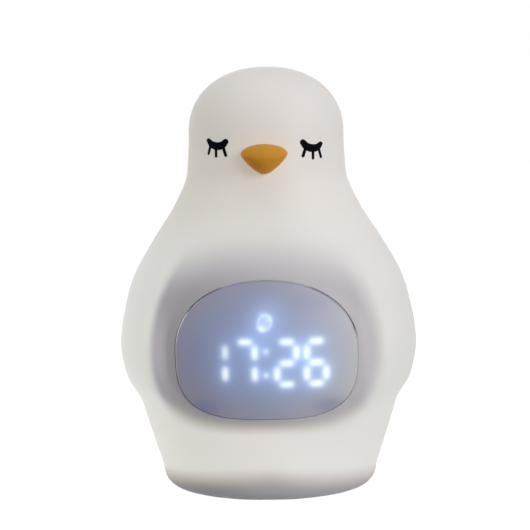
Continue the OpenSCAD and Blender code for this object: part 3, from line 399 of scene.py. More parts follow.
    def turn_at(self, x, z, inset, front):
        """The polar angle at which the skin has a given x at height z, by bisection."""
        low, high = np.full(x.shape, math.pi), np.full(x.shape, TURN if front else 0.0)
        for _ in range(BISECTIONS):
            half = (low + high) / 2
            short = self.point(half, z, inset)[..., 0] < x
            low, high = np.where(short, half, low), np.where(short, high, half)
        return (low + high) / 2

    def brow(self, x, z):
        """Depth of the plain front face at x and z."""
        w, front, _, n = self.ring(z, 0)
        return -front * (1 - np.abs(x / w) ** n) ** (1 / n)

    def window(self, theta, grow):
        """Outline of the display window, grown, in X and Z."""
        d = self.display
        x, z = superellipse(theta, d.width / 2 + grow, d.up + grow, d.down + grow, *self.WINDOW_POWERS)
        return x, z + self.display_z

    def panel_edge(self, theta, grow):
        """Outline of the rear panel, grown, in X and Z."""
        p = self.panel
        half_h = p.height / 2 + grow
        power = self.PANEL_POWER
        x, z = superellipse(theta, p.width / 2 + grow, half_h, half_h, power, power)
        return x, z + p.middle_z

    def base_edge(self, turn, grow):
        """Outline of the skin's bottom opening, grown, in X and Y."""
        b, power = self.body, self.BASE_POWER
        inset = b.base_round + b.lip_w - grow
        back, front = b.base_back - inset, b.base_front - inset
        return superellipse(turn, b.base_w / 2 - inset, back, front, power, power)


# ---- mesh building


class Build:
    """Gathers the points and faces of one mesh."""

    def __init__(self):
        self.points = []
        self.faces = []
        self.count = 0

    def add(self, points):
        """Adds points of any grid shape and returns their numbers in that shape."""
        points = np.asarray(points)
        numbers = np.arange(points[..., 0].size).reshape(points.shape[:-1]) + self.count
        self.points.append(points.reshape(-1, 3))
        self.count += numbers.size
        return numbers

    def skirt(self, rings, keep=None):
        """Faces between neighbouring rings of a closed grid; keep masks out openings."""
        across = np.roll(rings, -1, axis=1)
        quads = np.stack([rings[:-1], across[:-1], across[1:], rings[1:]], -1)
        self.faces.append(quads[keep] if keep is not None else quads.reshape(-1, 4))

    def fan(self, ring, tip):
        """Triangles from a ring to a tip, written as quads that repeat the tip."""
        around = np.roll(ring, -1)
        tips = np.full(ring.shape, int(tip))
        self.faces.append(np.stack([ring, around, tips, tips], -1))

    def mesh(self, name):
        """The mesh, with the triangles that repeat a point made plain."""
        points = np.concatenate(self.points)
        quads = np.concatenate(self.faces)
        sizes = np.where(quads[:, 2] == quads[:, 3], 3, 4)
        corners = quads[np.arange(4) < sizes[:, None]]
        mesh = bpy.data.meshes.new(name)
        mesh.vertices.add(len(points))
        mesh.vertices.foreach_set("co", points.astype(np.float32).reshape(-1))
        mesh.loops.add(len(corners))
        mesh.loops.foreach_set("vertex_index", corners.astype(np.int32))
        mesh.polygons.add(len(quads))
        mesh.polygons.foreach_set("loop_start", (np.cumsum(sizes) - sizes).astype(np.int32))
        mesh.polygons.foreach_set("use_smooth", np.ones(len(quads), bool))
        mesh.update(calc_edges=True)
        mesh.validate()
        return mesh


def closed_rings(build, rings):
    """A closed body through rings of points, with a tip at the middle of its first and last ring."""
    numbers = build.add(rings)
    build.skirt(numbers)
    first, last = build.add(np.stack([rings[0].mean(0), rings[-1].mean(0)]))
    build.fan(numbers[0][::-1], first)
    build.fan(numbers[-1], last)


def link(name, data):
    """A new object of the scene."""
    piece = bpy.data.objects.new(name, data)
    bpy.context.scene.collection.objects.link(piece)
    return piece


def place(name, mesh, material, slot, replaces=None, body=BODY):
    """Links a finished mesh as a piece that rides on a body and may stand for a CAD node."""
    piece = link(name, mesh)
    mesh.materials.append(material)
    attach(piece, body)
    if replaces:
        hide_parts(replaces)


# ---- materials


def math_method(name, swapped=False):
    """A method that adds one Math node for a value and another value or number."""

    def method(self, other):
        return self.finish.math(name, *((other, self) if swapped else (self, other)))

    return method


class Value:
    """A socket in a material; Python arithmetic on it adds Math nodes."""

    def __init__(self, finish, socket):
        self.finish = finish
        self.socket = socket

    __add__ = __radd__ = math_method("ADD")
    __mul__ = __rmul__ = math_method("MULTIPLY")
    __sub__ = math_method("SUBTRACT")
    __rsub__ = math_method("SUBTRACT", swapped=True)
    __truediv__ = math_method("DIVIDE")
    __pow__ = math_method("POWER")
    atleast = math_method("MAXIMUM")

    def __abs__(self):
        return self.finish.math("ABSOLUTE", self)

    def bell(self, middle, width):
        """exp(-((v - middle) / width)^2)."""
        share = (self - middle) / width
        return self.finish.math("EXPONENT", share * share * -1)

    def plateau(self, middle, width, power):
        """exp(-(|v - middle| / width)^n), whose top is flatter the larger n is."""
        return self.finish.math("EXPONENT", (abs(self - middle) / width) ** power * -1)

    def ease(self, low, high):
        """Smooth step from 0 at low to 1 at high."""
        inputs = {"Value": self, "From Min": low, "From Max": high}
        return self.finish.node("MapRange", {"interpolation_type": "SMOOTHSTEP"}, inputs)


class Tree:
    """The nodes of a material or a world, emptied first."""

    def __init__(self, owner):
        owner.use_nodes = True
        self.tree = owner.node_tree
        self.tree.nodes.clear()

    def feed(self, socket, value):
        """Links a value to a socket, or writes a constant on it."""
        if isinstance(value, Value):
            self.tree.links.new(value.socket, socket)
        elif socket.type == "RGBA" and len(value) == 3:
            socket.default_value = (*value, 1)
        else:
            socket.default_value = value

    def node(self, kind, settings, inputs, output=0):
        """Adds a node with its settings and inputs and returns one output, if it has any."""
        node = self.tree.nodes.new("ShaderNode" + kind)
        for name, value in settings.items():
            setattr(node, name, value)
        for name, value in inputs.items():
            self.feed(node.inputs[name], value)
        return Value(self, node.outputs[output]) if node.outputs else None

    def math(self, operation, *values):
        """Adds one Math node."""
        return self.node("Math", {"operation": operation}, dict(enumerate(values)))


class Finish(Tree):
    """One material: a Principled shader and the nodes that feed it. Patterns read millimetres."""

    def __init__(self, name, **sockets):
        self.material = bpy.data.materials.new(name)
        super().__init__(self.material)
        shader = self.node("BsdfPrincipled", {}, {})
        self.shader = shader.socket.node
        self.node("OutputMaterial", {}, {0: shader})
        metres = self.node("TexCoord", {}, {}, "Object")
        self.place = self.node("VectorMath", {"operation": "SCALE"}, {0: metres, "Scale": 1 / MM})
        self.x, self.y, self.z = (self.node("SeparateXYZ", {}, {0: self.place}, axis) for axis in "XYZ")
        self.set(**sockets)

    def set(self, **sockets):
        """Sets the shader's sockets; base_color stands for Base Color, and so on."""
        for name, value in sockets.items():
            words = name.replace("_", " ").title().replace("Ior", "IOR")
            self.feed(self.shader.inputs[words], value)

    def blend(self, share, a, b):
        """The colour a share of the way from a to b."""
        return self.node("Mix", {"data_type": "RGBA"}, {0: share, 6: a, 7: b}, 2)

    def add_light(self, a, b):
        """The sum of two colours."""
        how = {"data_type": "RGBA", "blend_type": "ADD"}
        return self.node("Mix", how, {0: 1.0, 6: a, 7: b}, 2)

    def paint(self, pattern, dark, light, rough, swing, grain=None):
        """Colour from dark to light by a pattern; roughness is rough + swing * grain, or * pattern."""
        self.set(base_color=self.blend(pattern, dark, light), roughness=(grain or pattern) * swing + rough)

    def noise(self, size, detail=2.0, stretch=None):
        """Cloud noise whose features are about size millimetres."""
        place = self.place
        if stretch:
            place = self.node("VectorMath", {"operation": "MULTIPLY"}, {0: place, 1: stretch})
        inputs = {"Vector": place, "Scale": 1 / size, "Detail": detail, "Roughness": 0.55}
        return self.node("TexNoise", {}, inputs)

    def cells(self, size):
        """Distance from the middles of cells of about size millimetres."""
        return self.node("TexVoronoi", {}, {"Vector": self.place, "Scale": 1 / size})

    def bump(self, height, depth, strength):
        """Feeds a relief, depth millimetres deep, to the shader's normal."""
        inputs = {"Strength": strength, "Distance": depth * MM, "Height": height}
        self.set(normal=self.node("Bump", {}, inputs))


def tinted(rgb, factor):
    """A colour made lighter or darker."""
    return tuple(min(1.0, c * factor) for c in rgb)


def shades(rgb, dark, light):
    """A darker and a lighter shade of a colour."""
    return tinted(rgb, dark), tinted(rgb, light)


def scaled(rgb, factors):
    """A colour with each of its three shares scaled."""
    return tuple(c * factor for c, factor in zip(rgb, factors))


BLACK = (0, 0, 0)
# Colour of the painted shade in the seam and crease round the window
SEAM_SHADE_COLOUR = (0.01, 0.01, 0.015)
# Tints of the painted night light on the body, the head and the lap, and on the painted shade's rim above and
# below
BODY_TINT, HEAD_TINT, LAP_TINT = (0.985, 1.05, 0.94), (1.035, 0.985, 0.80), (1.03, 0.99, 0.86)
RIM_TINT, LOW_RIM_TINT = (0.95, 0.99, 1.10), (1.17, 1.02, 0.64)
# Painted shade in the seam round the window and the crease at its upper sides, by middle and width in window
# radii
SEAM, CREASE = (1.009, 0.009), (1.014, 0.009)
# The crease's painted shade starts at these distances from the middle and heights, leaning down to the right.
# The seam's painted shade is darker at the left from these places across and up, by the window's middle; then
# their shares
CREASE_ACROSS, CREASE_UP, CREASE_LEAN = (16, 20), (74, 80), 0.15
SEAM_ACROSS, SEAM_UP = (-18, -30), (-20, 0)
SEAM_SHARE, SEAM_ALWAYS, CREASE_SHARE = 0.5, 0.12, 0.8
# Depths between which the seam's painted shade starts to show, and the works' painted shade; heights between
# which the painted light takes the head's tint, the low rim's and the lap's, and leaves the base's rolled
# edge
SEAM_DEPTH, SHADE_DEPTH = (-20, -26), (-6, -20)
HEAD_RISE, RIM_FALL, LAP_FALL, BASE_RISE = (98, 128), (50, 36), (40, 30), (7.4, 18.4)
# Painted night light at the middle of the base, and its loss per millimetre to the right, less on the head,
# and up
LIGHT_BASE, LIGHT_ACROSS, HEAD_ACROSS, LIGHT_UP = 0.936, 0.0031, 0.0014, 0.0023
# Painted shade of the works at the back: reach across and up from their middle height, depths, and the share
# that they take
REAR_ACROSS, REAR_UP, REAR_Z, REAR_DEPTH, REAR_SHARE = (34, 22), (42, 28), 51, (20, 34), 0.6
# The rim's tint starts higher at the back; the lap's is strongest beside the middle; how much the base's
# edge rises to the sides
RIM_DEPTH, RIM_HIGHER = (0, 20), 26
LAP_BELL, LAP_SHARE, LAP_ALWAYS, BASE_LEAN = (-3, 6), 0.6, 0.4, 0.1
# The works' painted shade on the skin. Sides: reach, height of the bow, bow, softness; top: height, how far
# left its bow's middle lies, bow; bottom: height, bow; then the softness of top and bottom and its growth
# across
SHADE_LEFT, SHADE_RIGHT = (47.5, 64, 0.0086, 2.4), (43, 58, 0.0039, 5.5)
SHADE_TOP, SHADE_BOTTOM = (101.7, 6, 0.0053), (33.2, 0.0422)
TOP_SOFT, BOTTOM_SOFT = (16.8, 0.115), (3.5, 0.002)


def shaded(finish):
    """How far the works round the display keep the night light off the skin, as painted shade: the product of
    four soft edges, the sides bowed by z^2, the top by x^2 and the bottom by x^4, each with its own softness."""
    x, z = finish.x, finish.z
    reach, line, bow, soft = SHADE_LEFT
    left = (x + reach - ((z - line) ** 2) * bow).ease(-soft, soft)
    reach, line, bow, soft = SHADE_RIGHT
    right = (reach - ((z - line) ** 2) * bow - x).ease(-soft, soft)
    height, left_by, bow = SHADE_TOP
    top = height - ((x + left_by) ** 2) * bow - z
    height, bow = SHADE_BOTTOM
    bottom = z - height - ((x * bow) ** 2) ** 2
    top = (top / (x * TOP_SOFT[1] + TOP_SOFT[0])).ease(-1, 1)
    bottom = (bottom / (x * x * BOTTOM_SOFT[1] + BOTTOM_SOFT[0])).ease(-1, 1)
    return left * right * (top * bottom)


def window_radius(finish, form):
    """Distance from the window's middle by the superellipse of its edge, 1 on the edge."""
    d = form.display
    radius = 0.0
    for power, reach in zip(form.WINDOW_POWERS, (d.up, -d.down)):
        across = (abs(finish.x) / (d.width / 2 / MM)) ** power
        upright = ((finish.z - form.display_z / MM) / (reach / MM)).atleast(0) ** power
        radius = ((across + upright) ** (1 / power)).atleast(radius)
    return radius


def silicone_finish(form):
    """Matte translucent silicone with the night light painted into its emission: painted shade in front of
    the works, behind them and at the base, and more painted light to the left and low down.
    Painted shade darkens the gap round the window, most of all at its upper sides."""
    f = bpy.context.scene.bird_finish
    finish = Finish("translucent_silicone", subsurface_weight=0.25, subsurface_scale=1.0, ior=1.41)
    finish.set(subsurface_radius=(4 * MM, 3.4 * MM, 2.6 * MM), sheen_weight=0.2, sheen_roughness=0.4)
    x, y, z = finish.x, finish.y, finish.z
    edge, recessed = window_radius(finish, form), y.ease(*SEAM_DEPTH)
    # Painted shade in the seam and in the crease at the window's upper sides, darker at the left
    seam_shade = edge.bell(*SEAM) * recessed
    crease_shade = edge.bell(*CREASE) * recessed * abs(x).ease(*CREASE_ACROSS)
    crease_shade = crease_shade * (z + x * CREASE_LEAN).ease(*CREASE_UP)
    seam_shade_left = x.ease(*SEAM_ACROSS) * (z - form.display_z / MM).ease(*SEAM_UP)
    # dark is the share of painted shade that the base colour takes in the seam and crease
    dark = seam_shade * (seam_shade_left * SEAM_SHARE + SEAM_ALWAYS) + crease_shade * CREASE_SHARE
    plain = finish.blend(finish.noise(22, 3), *shades(f.silicone, 0.985, 1.015))
    finish.paint(dark, plain, SEAM_SHADE_COLOUR, 0.5, 0.08, finish.noise(3.5, 3))

    def lit(share, low, high):
        """Painted night light between two tints."""
        return finish.blend(share, scaled(f.glow, low), scaled(f.glow, high))

    # Painted light and shade: the night light through the skin and the works' shade on it go into the
    # emission
    front = 1 - shaded(finish) * y.ease(*SHADE_DEPTH)
    behind = abs(x).ease(*REAR_ACROSS) * abs(z - REAR_Z).ease(*REAR_UP) * y.ease(*REAR_DEPTH)
    clear = front * (1 - behind * REAR_SHARE) * (z + abs(x) * BASE_LEAN).ease(*BASE_RISE)
    high = z.ease(*HEAD_RISE)
    nearer = LIGHT_BASE - x * (LIGHT_ACROSS - high * HEAD_ACROSS) - z * LIGHT_UP
    rim = lit((z + y.ease(*RIM_DEPTH) * RIM_HIGHER).ease(*RIM_FALL), RIM_TINT, LOW_RIM_TINT)
    lap = (x.bell(*LAP_BELL) * LAP_SHARE + LAP_ALWAYS) * z.ease(*LAP_FALL)
    body = finish.blend(lap, lit(high, BODY_TINT, HEAD_TINT), scaled(f.glow, LAP_TINT))
    light = finish.blend(clear * nearer, BLACK, finish.blend(clear.ease(0.05, 0.9), rim, body))
    finish.set(emission_color=light, emission_strength=f.glow_strength)
    finish.bump(finish.noise(0.55, 3) + finish.noise(6, 2) * 0.5, 0.03, 0.5)
    return finish.material


def grained(name, dark, light, cloud, grain, rough, swing, depth, strength, **sockets):
    """Colour that drifts from dark to light in clouds, with a finer grain in its roughness and relief;
    cloud and grain give each noise's size, detail and stretch."""
    finish = Finish(name, **sockets)
    grain = finish.noise(*grain)
    finish.paint(finish.noise(*cloud), dark, light, rough, swing, grain)
    finish.bump(grain, depth, strength)
    return finish.material


def moulded_finish(name, rgb, roughness=0.45, grain=0.35, depth=0.02):
    """Moulded plastic with a spark-eroded grain."""
    pair = shades(rgb, 0.94, 1.04)
    return grained(name, *pair, (9, 3), (grain, 4), roughness - 0.08, 0.16, depth, 0.6, ior=1.49)


def metal_finish(name, rgb, stretch=(1, 1, 9), roughness=0.3):
    """Plated metal with drawn lines and faint stains."""
    pair = shades(rgb, 0.82, 1.05)
    return grained(name, *pair, (3, 4), (0.8, 3, stretch), roughness - 0.1, 0.2, 0.01, 0.4, metallic=1.0)


def paper_finish(name, dark, light):
    """Pressed paper of the loudspeaker's cone, with fibres."""
    fibres = (0.7, 5, (3, 1, 3))
    return grained(name, dark, light, fibres, fibres, 0.65, 0.2, 0.06, 0.7, sheen_weight=0.2)


def rubber_finish(name, rgb):
    """Soft matte rubber with fine pits and rubbed, paler patches."""
    finish = Finish(name, ior=1.5, sheen_weight=0.1)
    finish.paint(finish.noise(4, 4).ease(0.5, 0.75), rgb, tinted(rgb, 1.35), 0.82, -0.12)
    finish.bump(finish.cells(0.5), 0.03, 0.5)
    return finish.material


def board_finish(name, mask, track):
    """Lacquered circuit board: copper tracks under coloured mask, with plated pads."""
    finish = Finish(name, ior=1.5, coat_weight=0.4, coat_roughness=0.2)
    bricks = {"Vector": finish.place, "Scale": 0.18, "Mortar Size": 0.03, "Mortar Smooth": 0.1}
    ways = finish.node("TexBrick", {"offset": 0.5}, bricks, 1)
    pads = finish.cells(3.2).ease(0.16, 0.13)
    finish.set(base_color=finish.blend(pads, finish.blend(ways, mask, track), (0.62, 0.6, 0.52)))
    finish.set(metallic=pads * 0.8, roughness=0.38 - pads * 0.1)
    finish.bump(ways + pads, 0.035, 0.6)
    return finish.material


def cable_finish(name, rgb, ribs=None):
    """Cable sheath; ribs is the spacing of a flat cable's wires, in millimetres."""
    finish = Finish(name, ior=1.48)
    finish.paint(finish.noise(2.5, 3), *shades(rgb, 0.9, 1.05), 0.4, 0.1)
    if ribs:
        wave = finish.math("SINE", (finish.x + finish.y) * (TURN / ribs))
        finish.bump(wave, 0.06, 0.8)
    return finish.material


def chip_finish(name):
    """A lit chip: a bright phosphor window in a white case."""
    finish = Finish(name, roughness=0.35, coat_weight=0.5)
    grain = finish.cells(0.35)
    finish.set(base_color=finish.blend(grain, (0.9, 0.82, 0.35), (0.98, 0.95, 0.8)))
    finish.set(emission_color=finish.blend(grain, (1, 0.92, 0.7), (1, 1, 0.95)), emission_strength=0.8)
    return finish.material


def guide_finish(name):
    """Frosted light guides, lit from behind."""
    finish = Finish(name, roughness=0.5, ior=1.49)
    frost = finish.noise(0.6, 4)
    halo = bpy.context.scene.bird_finish.halo
    finish.set(base_color=finish.blend(frost, (0.7, 0.74, 0.9), (0.86, 0.88, 0.97)))
    finish.set(emission_color=finish.blend(frost, halo, (0.9, 0.93, 1)), emission_strength=0.9)
    finish.bump(frost, 0.03, 0.5)
    return finish.material


def beak_finish(middle_z):
    """Matte mustard silicone with a faint painted glow, and painted shade that browns it low down and most of
    all on the left.
    """
    rgb = bpy.context.scene.bird_finish.beak
    finish = Finish("beak_mustard", subsurface_weight=0.12, subsurface_scale=1.0, ior=1.41)
    finish.set(subsurface_radius=(3 * MM, 1.6 * MM, 0.6 * MM), specular_ior_level=0.25)
    # A faint painted glow in the beak's own colour
    finish.set(emission_color=tinted(rgb, 0.12), emission_strength=1.0)
    # Painted shade, strongest low down and on the left
    shade = (finish.z - middle_z / MM).ease(1, -7) * (finish.x.ease(3, -6) * 0.45 + 0.3)
    tint = finish.blend(finish.noise(5, 3), *shades(rgb, 0.94, 1.05))
    finish.paint(shade, tint, scaled(rgb, (0.7, 0.35, 0.5)), 0.45, 0.1, finish.noise(1.2, 3))
    finish.bump(finish.noise(0.5, 3), 0.03, 0.5)
    return finish.material


def eye_finish(name):
    """Matte black inlay."""
    rgb = bpy.context.scene.bird_finish.eye
    finish = Finish(name, ior=1.41, specular_ior_level=0.03)
    finish.paint(finish.noise(1.5, 3), rgb, tinted(rgb, 1.8), 0.55, 0.15)
    finish.bump(finish.noise(0.4, 3), 0.02, 0.4)
    return finish.material


# A digit's segments a to g as (side, half), half 0 for the bar across the middle, and the lit ones
SEGMENTS = dict(a=(0, 1), b=(1, 0.5), c=(1, -0.5), d=(0, -1), e=(-1, -0.5), f=(-1, 0.5), g=(0, 0))
DIGITS = {1: "bc", 2: "abged", 6: "afgecd", 7: "abc"}
SHOWN = (1, 7, 2, 6)
# The dimmest bar, by digit and half, and its share of the others' light
FAINT, FAINT_SHARE = (1, 0.5), 0.78
# Half widths of the lens's glow over which its border and its left to right rise are measured
GLOW_W, GLOW_H = 36, 28
# Egg round the bell: its middle left of and below the bell's place, lean, half width and half height
EGG_LEFT, EGG_LOW, EGG_LEAN, EGG_W, EGG_H = 0.4, 0.4, 0.15, 3.3, 3.8
COLON_SHARE = 0.28
# Places of bluish painted shade on the lens: across, up, width and height
LOW_LEFT, LOW_RIGHT = (-25.5, -19.5, 7, 4), (26, -18.5, 7, 4)
HIGH_RIGHT, LEFT_SIDE = (23, 25, 10, 5), (-30, -2, 9, 20)
CORNER_SHADE = (0, 0.01, 0.13)


def lens_finish(form):
    """Smoked lens whose emission paints the light of the digits that it spreads, with painted haze and light
    and
    bluish painted shade: each lit bar is a product of two bells.
    """
    scene = bpy.context.scene
    f, d = scene.bird_finish, scene.bird_display
    finish = Finish("smoked_lens", ior=1.49, coat_weight=0.15, coat_roughness=0.25)
    x = finish.x
    z = finish.z - (form.display_z - d.digits_down) / MM
    half_w, half_h = d.digit_w / MM / 2, d.digit_h / MM / 2
    places = ((-1, 1), (-1, 0), (1, 0), (1, 1))
    middles = [side * (d.colon_pitch / 2 + k * d.digit_pitch) / MM for side, k in places]

    def lit(long, thin, sharp=2.0):
        """Sum of all lit bars, with bells long along a bar and thin across it."""
        along, across = (long, sharp), (thin, 2.0)
        columns, rows, total = {}, {}, None
        for digit, middle in zip(SHOWN, middles):
            for side, row in (SEGMENTS[name] for name in DIGITS[digit]):
                column, level = (middle, side), (row, side == 0)
                if column not in columns:
                    columns[column] = x.plateau(middle + side * half_w, *(across if side else along))
                if level not in rows:
                    rows[level] = z.plateau(row * half_h, *(along if side else across))
                bar = columns[column] * rows[level]
                if (digit, row) == FAINT:
                    bar = bar * FAINT_SHARE
                total = total + bar if total else bar
        return total

    def spots(width):
        """The colon's two dots."""
        up = COLON_SHARE * 2 * half_h
        return x.bell(0, width) * (z.bell(up, width) + z.bell(-up, width))

    def spot(at_x, at_z, wide, high):
        """A soft round spot."""
        return x.bell(at_x, wide) * z.bell(at_z, high)

    icon = (d.digits_down + d.icon_up) / MM
    up = z - (icon - EGG_LOW)
    egg = finish.math("SQRT", ((x + EGG_LEFT - up * EGG_LEAN) / EGG_W) ** 2 + (up / EGG_H) ** 2)
    rise = (x + GLOW_W) / (2 * GLOW_W)
    # Shares and tints of the painted light that add up: haze, border and a rise to the right and up, as if
    # lit from there; digits; egg and bell; colon
    layers = [
        (spot(0, 4, 37, 33), (0.118, 0.155, 0.27)),
        (((x / GLOW_W) ** 2 + (z / GLOW_H) ** 2) / 2, (0.144, 0.086, 0.01)),
        (rise * rise * rise, (0.2, 0.2, 0.155)),
        ((z + 30) / 60, (0.0, 0.02, 0.074)),
        (lit(2.95, 1.55, 3.0), (0.56, 0.58, 0.4)),
        (lit(4.6, 3.3), (0.05, 0.1, 0.2)),
        (lit(9, 9), (0.006, 0.014, 0.03)),
        (egg.bell(0.8, 0.22), (0.13, 0.16, 0.15)),
        (egg.plateau(0, 1.0, 4.0), (0.12, 0.145, 0.13)),
        (spot(-1.5, icon - 2.6, 1.5, 1.4), (0.26, 0.27, 0.17)),
        (spot(1.3, icon + 1.2, 1.3, 1.2), (0.14, 0.16, 0.15)),
        (spot(-1.3, icon + 3, 1.9, 1.3), (0.09, 0.11, 0.15)),
        (egg.bell(0, 2.0), (0.11, 0.18, 0.36)),
        (spots(1.3), (0.254, 0.282, 0.24)),
        (spots(2.9), (0.064, 0.114, 0.179)),
    ]
    light = BLACK
    for share, tint in layers:
        most = 1 / max(tint)
        light = finish.add_light(light, finish.blend(share / most, BLACK, scaled(tint, (most, most, most))))
    # Bluish painted shade in a few places of the lens
    corners = spot(*LOW_LEFT) + spot(*LOW_RIGHT) + spot(*HIGH_RIGHT) * 0.45 + spot(*LEFT_SIDE) * 0.36
    finish.set(emission_color=finish.blend(corners * 0.5, light, CORNER_SHADE), emission_strength=1.0)
    finish.paint(finish.noise(14, 3), *shades(f.lens, 0.97, 1.03), 0.4, 0.08, finish.noise(4, 3))
    finish.bump(finish.noise(0.5, 3), 0.008, 0.3)
    return finish.material


# ---- pieces


COLUMNS = 240
# Rings of the skin round the base, up the body and round the crown, and of an opening's fan and wall
BASE_RINGS, BODY_RINGS, CROWN_RINGS, FAN_RINGS, WALL_RINGS = 12, 132, 26, 14, 5
FAN_POWER = 1.25
# Blocks of the grid that make room for an opening: half their columns and their reach past it
FRONT_SPAN, FRONT_BELOW, FRONT_ABOVE = 33, 32.5 * MM, 34 * MM
REAR_SPAN, REAR_MARGIN = 27, 5.5 * MM
# Share of the lens's lip rounding that the bottom opening and the rear panel's opening have
BOTTOM_LIP, REAR_LIP = 0.6, 0.7


def skin_mesh(form):
    """The whole skin as one closed shell: outer and inner grids of point(turn, z), joined by lips
    at the bottom opening, the display window and the rear panel."""
    body, display, panel = form.body, form.display, form.panel
    build = Build()
    turns = np.arange(COLUMNS) / COLUMNS * TURN
    low = np.linspace(0, math.pi / 2, BASE_RINGS)
    high = np.linspace(0, math.pi / 2, CROWN_RINGS)[1:-1]
    between = np.linspace(form.base_top, form.head_z, BODY_RINGS)[1:]

    def heights(inset):
        """Row heights: equal angles round the base and the crown, equal steps between them."""
        return np.concatenate([
            form.base_top - (body.base_round - inset) * np.cos(low),
            between,
            form.head_z + (body.dome_h - inset) * np.sin(high),
        ])

    def level(x, y, z):
        """A ring at one height."""
        return np.stack([x, y, np.full(COLUMNS, z)], -1)

    outer = form.point(turns, heights(0)[:, None])
    inner = form.point(turns, heights(body.wall)[:, None], body.wall)
    lip, floor = display.lip * BOTTOM_LIP, body.foot_proud
    edge, far = form.base_edge(turns, 0), form.base_edge(turns, lip)
    bottom = [level(*edge, floor + body.wall), level(*edge, floor + lip)]
    for a in np.linspace(0.25, 1, 4) * math.pi / 2:
        x, y = (mix(near, end, 1 - math.cos(a)) for near, end in zip(edge, far))
        bottom.append(level(x, y, floor + lip * (1 - math.sin(a))))
    flat = [mix(bottom[-1], outer[0], t) for t in (0.33, 0.66)]
    grid = np.concatenate([inner[::-1], [mix(inner[0], bottom[0], 0.5)], bottom, flat, outer])
    numbers = build.add(grid)
    rows = len(outer)
    outer_numbers, inner_numbers = numbers[-rows:], numbers[:rows][::-1]
    keep = np.ones((len(numbers) - 1, COLUMNS), bool)

    def opening(front, span, below, above, outline, lip_r):
        """Replaces a block of both grids by a fan of rings that end on an opening's outline."""
        centre_z = form.display_z if front else panel.middle_z
        middle = round(COLUMNS * (0.75 if front else 0.25))
        first, last = middle - span, middle + span
        row_z = heights(0)
        r0, r1 = np.searchsorted(row_z, (centre_z - below, centre_z + above))
        keep[len(numbers) - rows + r0:len(numbers) - rows + r1, first:last] = False
        keep[rows - 1 - r1:rows - 1 - r0, first:last] = False
        across, up = np.arange(first, last), np.arange(r0, r1)
        columns = np.concatenate([across, np.full(len(up), last), across[::-1] + 1, np.full(len(up), first)])
        levels = np.concatenate([np.full(2 * span, r0), up, np.full(2 * span, r1), up[::-1] + 1])
        loop_turn, loop_z = turns[columns], row_z[levels]
        x, z = form.point(loop_turn, loop_z)[:, [0, 2]].T
        theta = np.arctan2(z - centre_z, x)

        def spokes(inset, grow, steps, power):
            """Rings from the block's border to the grown outline, straight in turn and height."""
            goal_x, goal_z = outline(theta, grow)
            goal_turn = form.turn_at(goal_x, goal_z, inset, front)
            shares = 1 - (1 - np.linspace(0, 1, steps + 1)[1:, None]) ** power
            return form.point(mix(loop_turn, goal_turn, shares), mix(loop_z, goal_z, shares), inset)

        outside = spokes(0.0, display.gap + lip_r, FAN_RINGS, FAN_POWER)
        corner = spokes(0.0, display.gap, 1, 1)[-1]
        deep = corner + np.array([0, lip_r if front else -lip_r, 0])
        bends = [
            (1 - t) ** 2 * outside[-1] + 2 * t * (1 - t) * corner + t * t * deep
            for t in np.linspace(0, 1, 7)[1:]
        ]
        inside = spokes(body.wall, display.gap, WALL_RINGS, 1)[::-1]
        rings = build.add(np.concatenate([outside, bends, inside]))
        border, inner_border = (part[levels, columns][None] for part in (outer_numbers, inner_numbers))
        build.skirt(np.concatenate([border, rings, inner_border]))

    opening(True, FRONT_SPAN, FRONT_BELOW, FRONT_ABOVE, form.window, display.lip)
    reach = panel.height / 2 + REAR_MARGIN
    opening(False, REAR_SPAN, reach, reach, form.panel_edge, display.lip * REAR_LIP)
    build.skirt(numbers, keep)
    top, under = build.add(np.array([[0, 0, body.height], [0, 0, body.height - body.wall]]))
    build.fan(numbers[-1], top)
    build.fan(numbers[0][::-1], under)
    return build.mesh("skin_surface")


class BIRD_OT_skin(bpy.types.Operator):
    """Makes the soft skin of body, head and flippers"""

    bl_idname = "bird.skin"
    bl_label = "Skin"

    def execute(self, context):
        form = BodyForm(context.scene)
        place("skin_surface", skin_mesh(form), silicone_finish(form), "translucent_silicone", "skin")
        return {"FINISHED"}


LENS_COLUMNS, LENS_RIM = 192, 0.5 * MM


def lens_mesh(form):
    """Rings s * outline on the dome: inside, down and up the skirt, a quarter-round rim and outside."""
    d = form.display
    theta = np.arange(LENS_COLUMNS) / LENS_COLUMNS * TURN
    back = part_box("display_lens")[1][1]

    def dome(share, grow, lift):
        """A ring a share of the way from the middle to the grown outline."""
        x, z = form.window(theta, grow)
        x, z = x * share, mix(form.display_z, z, share)
        return np.stack([x, form.display_face(x, z) + lift, z], -1)

    def skirt(ring, share):
        """A ring moved a share of the way to the skirt's rear edge."""
        return np.stack([ring[:, 0], mix(ring[:, 1], back, share), ring[:, 2]], -1)

    deep = d.lens_wall - d.proud
    inside, outside = dome(1, -d.lens_wall, deep), dome(1, 0, LENS_RIM - d.proud)
    rings = [dome(share, -d.lens_wall, deep) for share in np.linspace(0.04, 1, 14)]
    rings += [skirt(inside, share) for share in np.linspace(0, 1, 7)]
    rings += [skirt(outside, share) for share in np.linspace(1, 0, 9)]
    for a in np.linspace(0, math.pi / 2, 8)[1:]:
        rings.append(dome(1, -LENS_RIM * (1 - math.cos(a)), LENS_RIM * (1 - math.sin(a)) - d.proud))
    rings += [dome(share, -LENS_RIM, -d.proud) for share in np.linspace(1, 0.03, 40)[1:]]
    build = Build()
    closed_rings(build, np.stack(rings)[:, ::-1])
    return build.mesh("lens_surface")


class BIRD_OT_lens(bpy.types.Operator):
    """Makes the domed display lens with its lit digits"""

    bl_idname = "bird.lens"
    bl_label = "Display Lens"

    def execute(self, context):
        form = BodyForm(context.scene)
        place("lens_surface", lens_mesh(form), lens_finish(form), "smoked_lens", "display_lens")
        return {"FINISHED"}


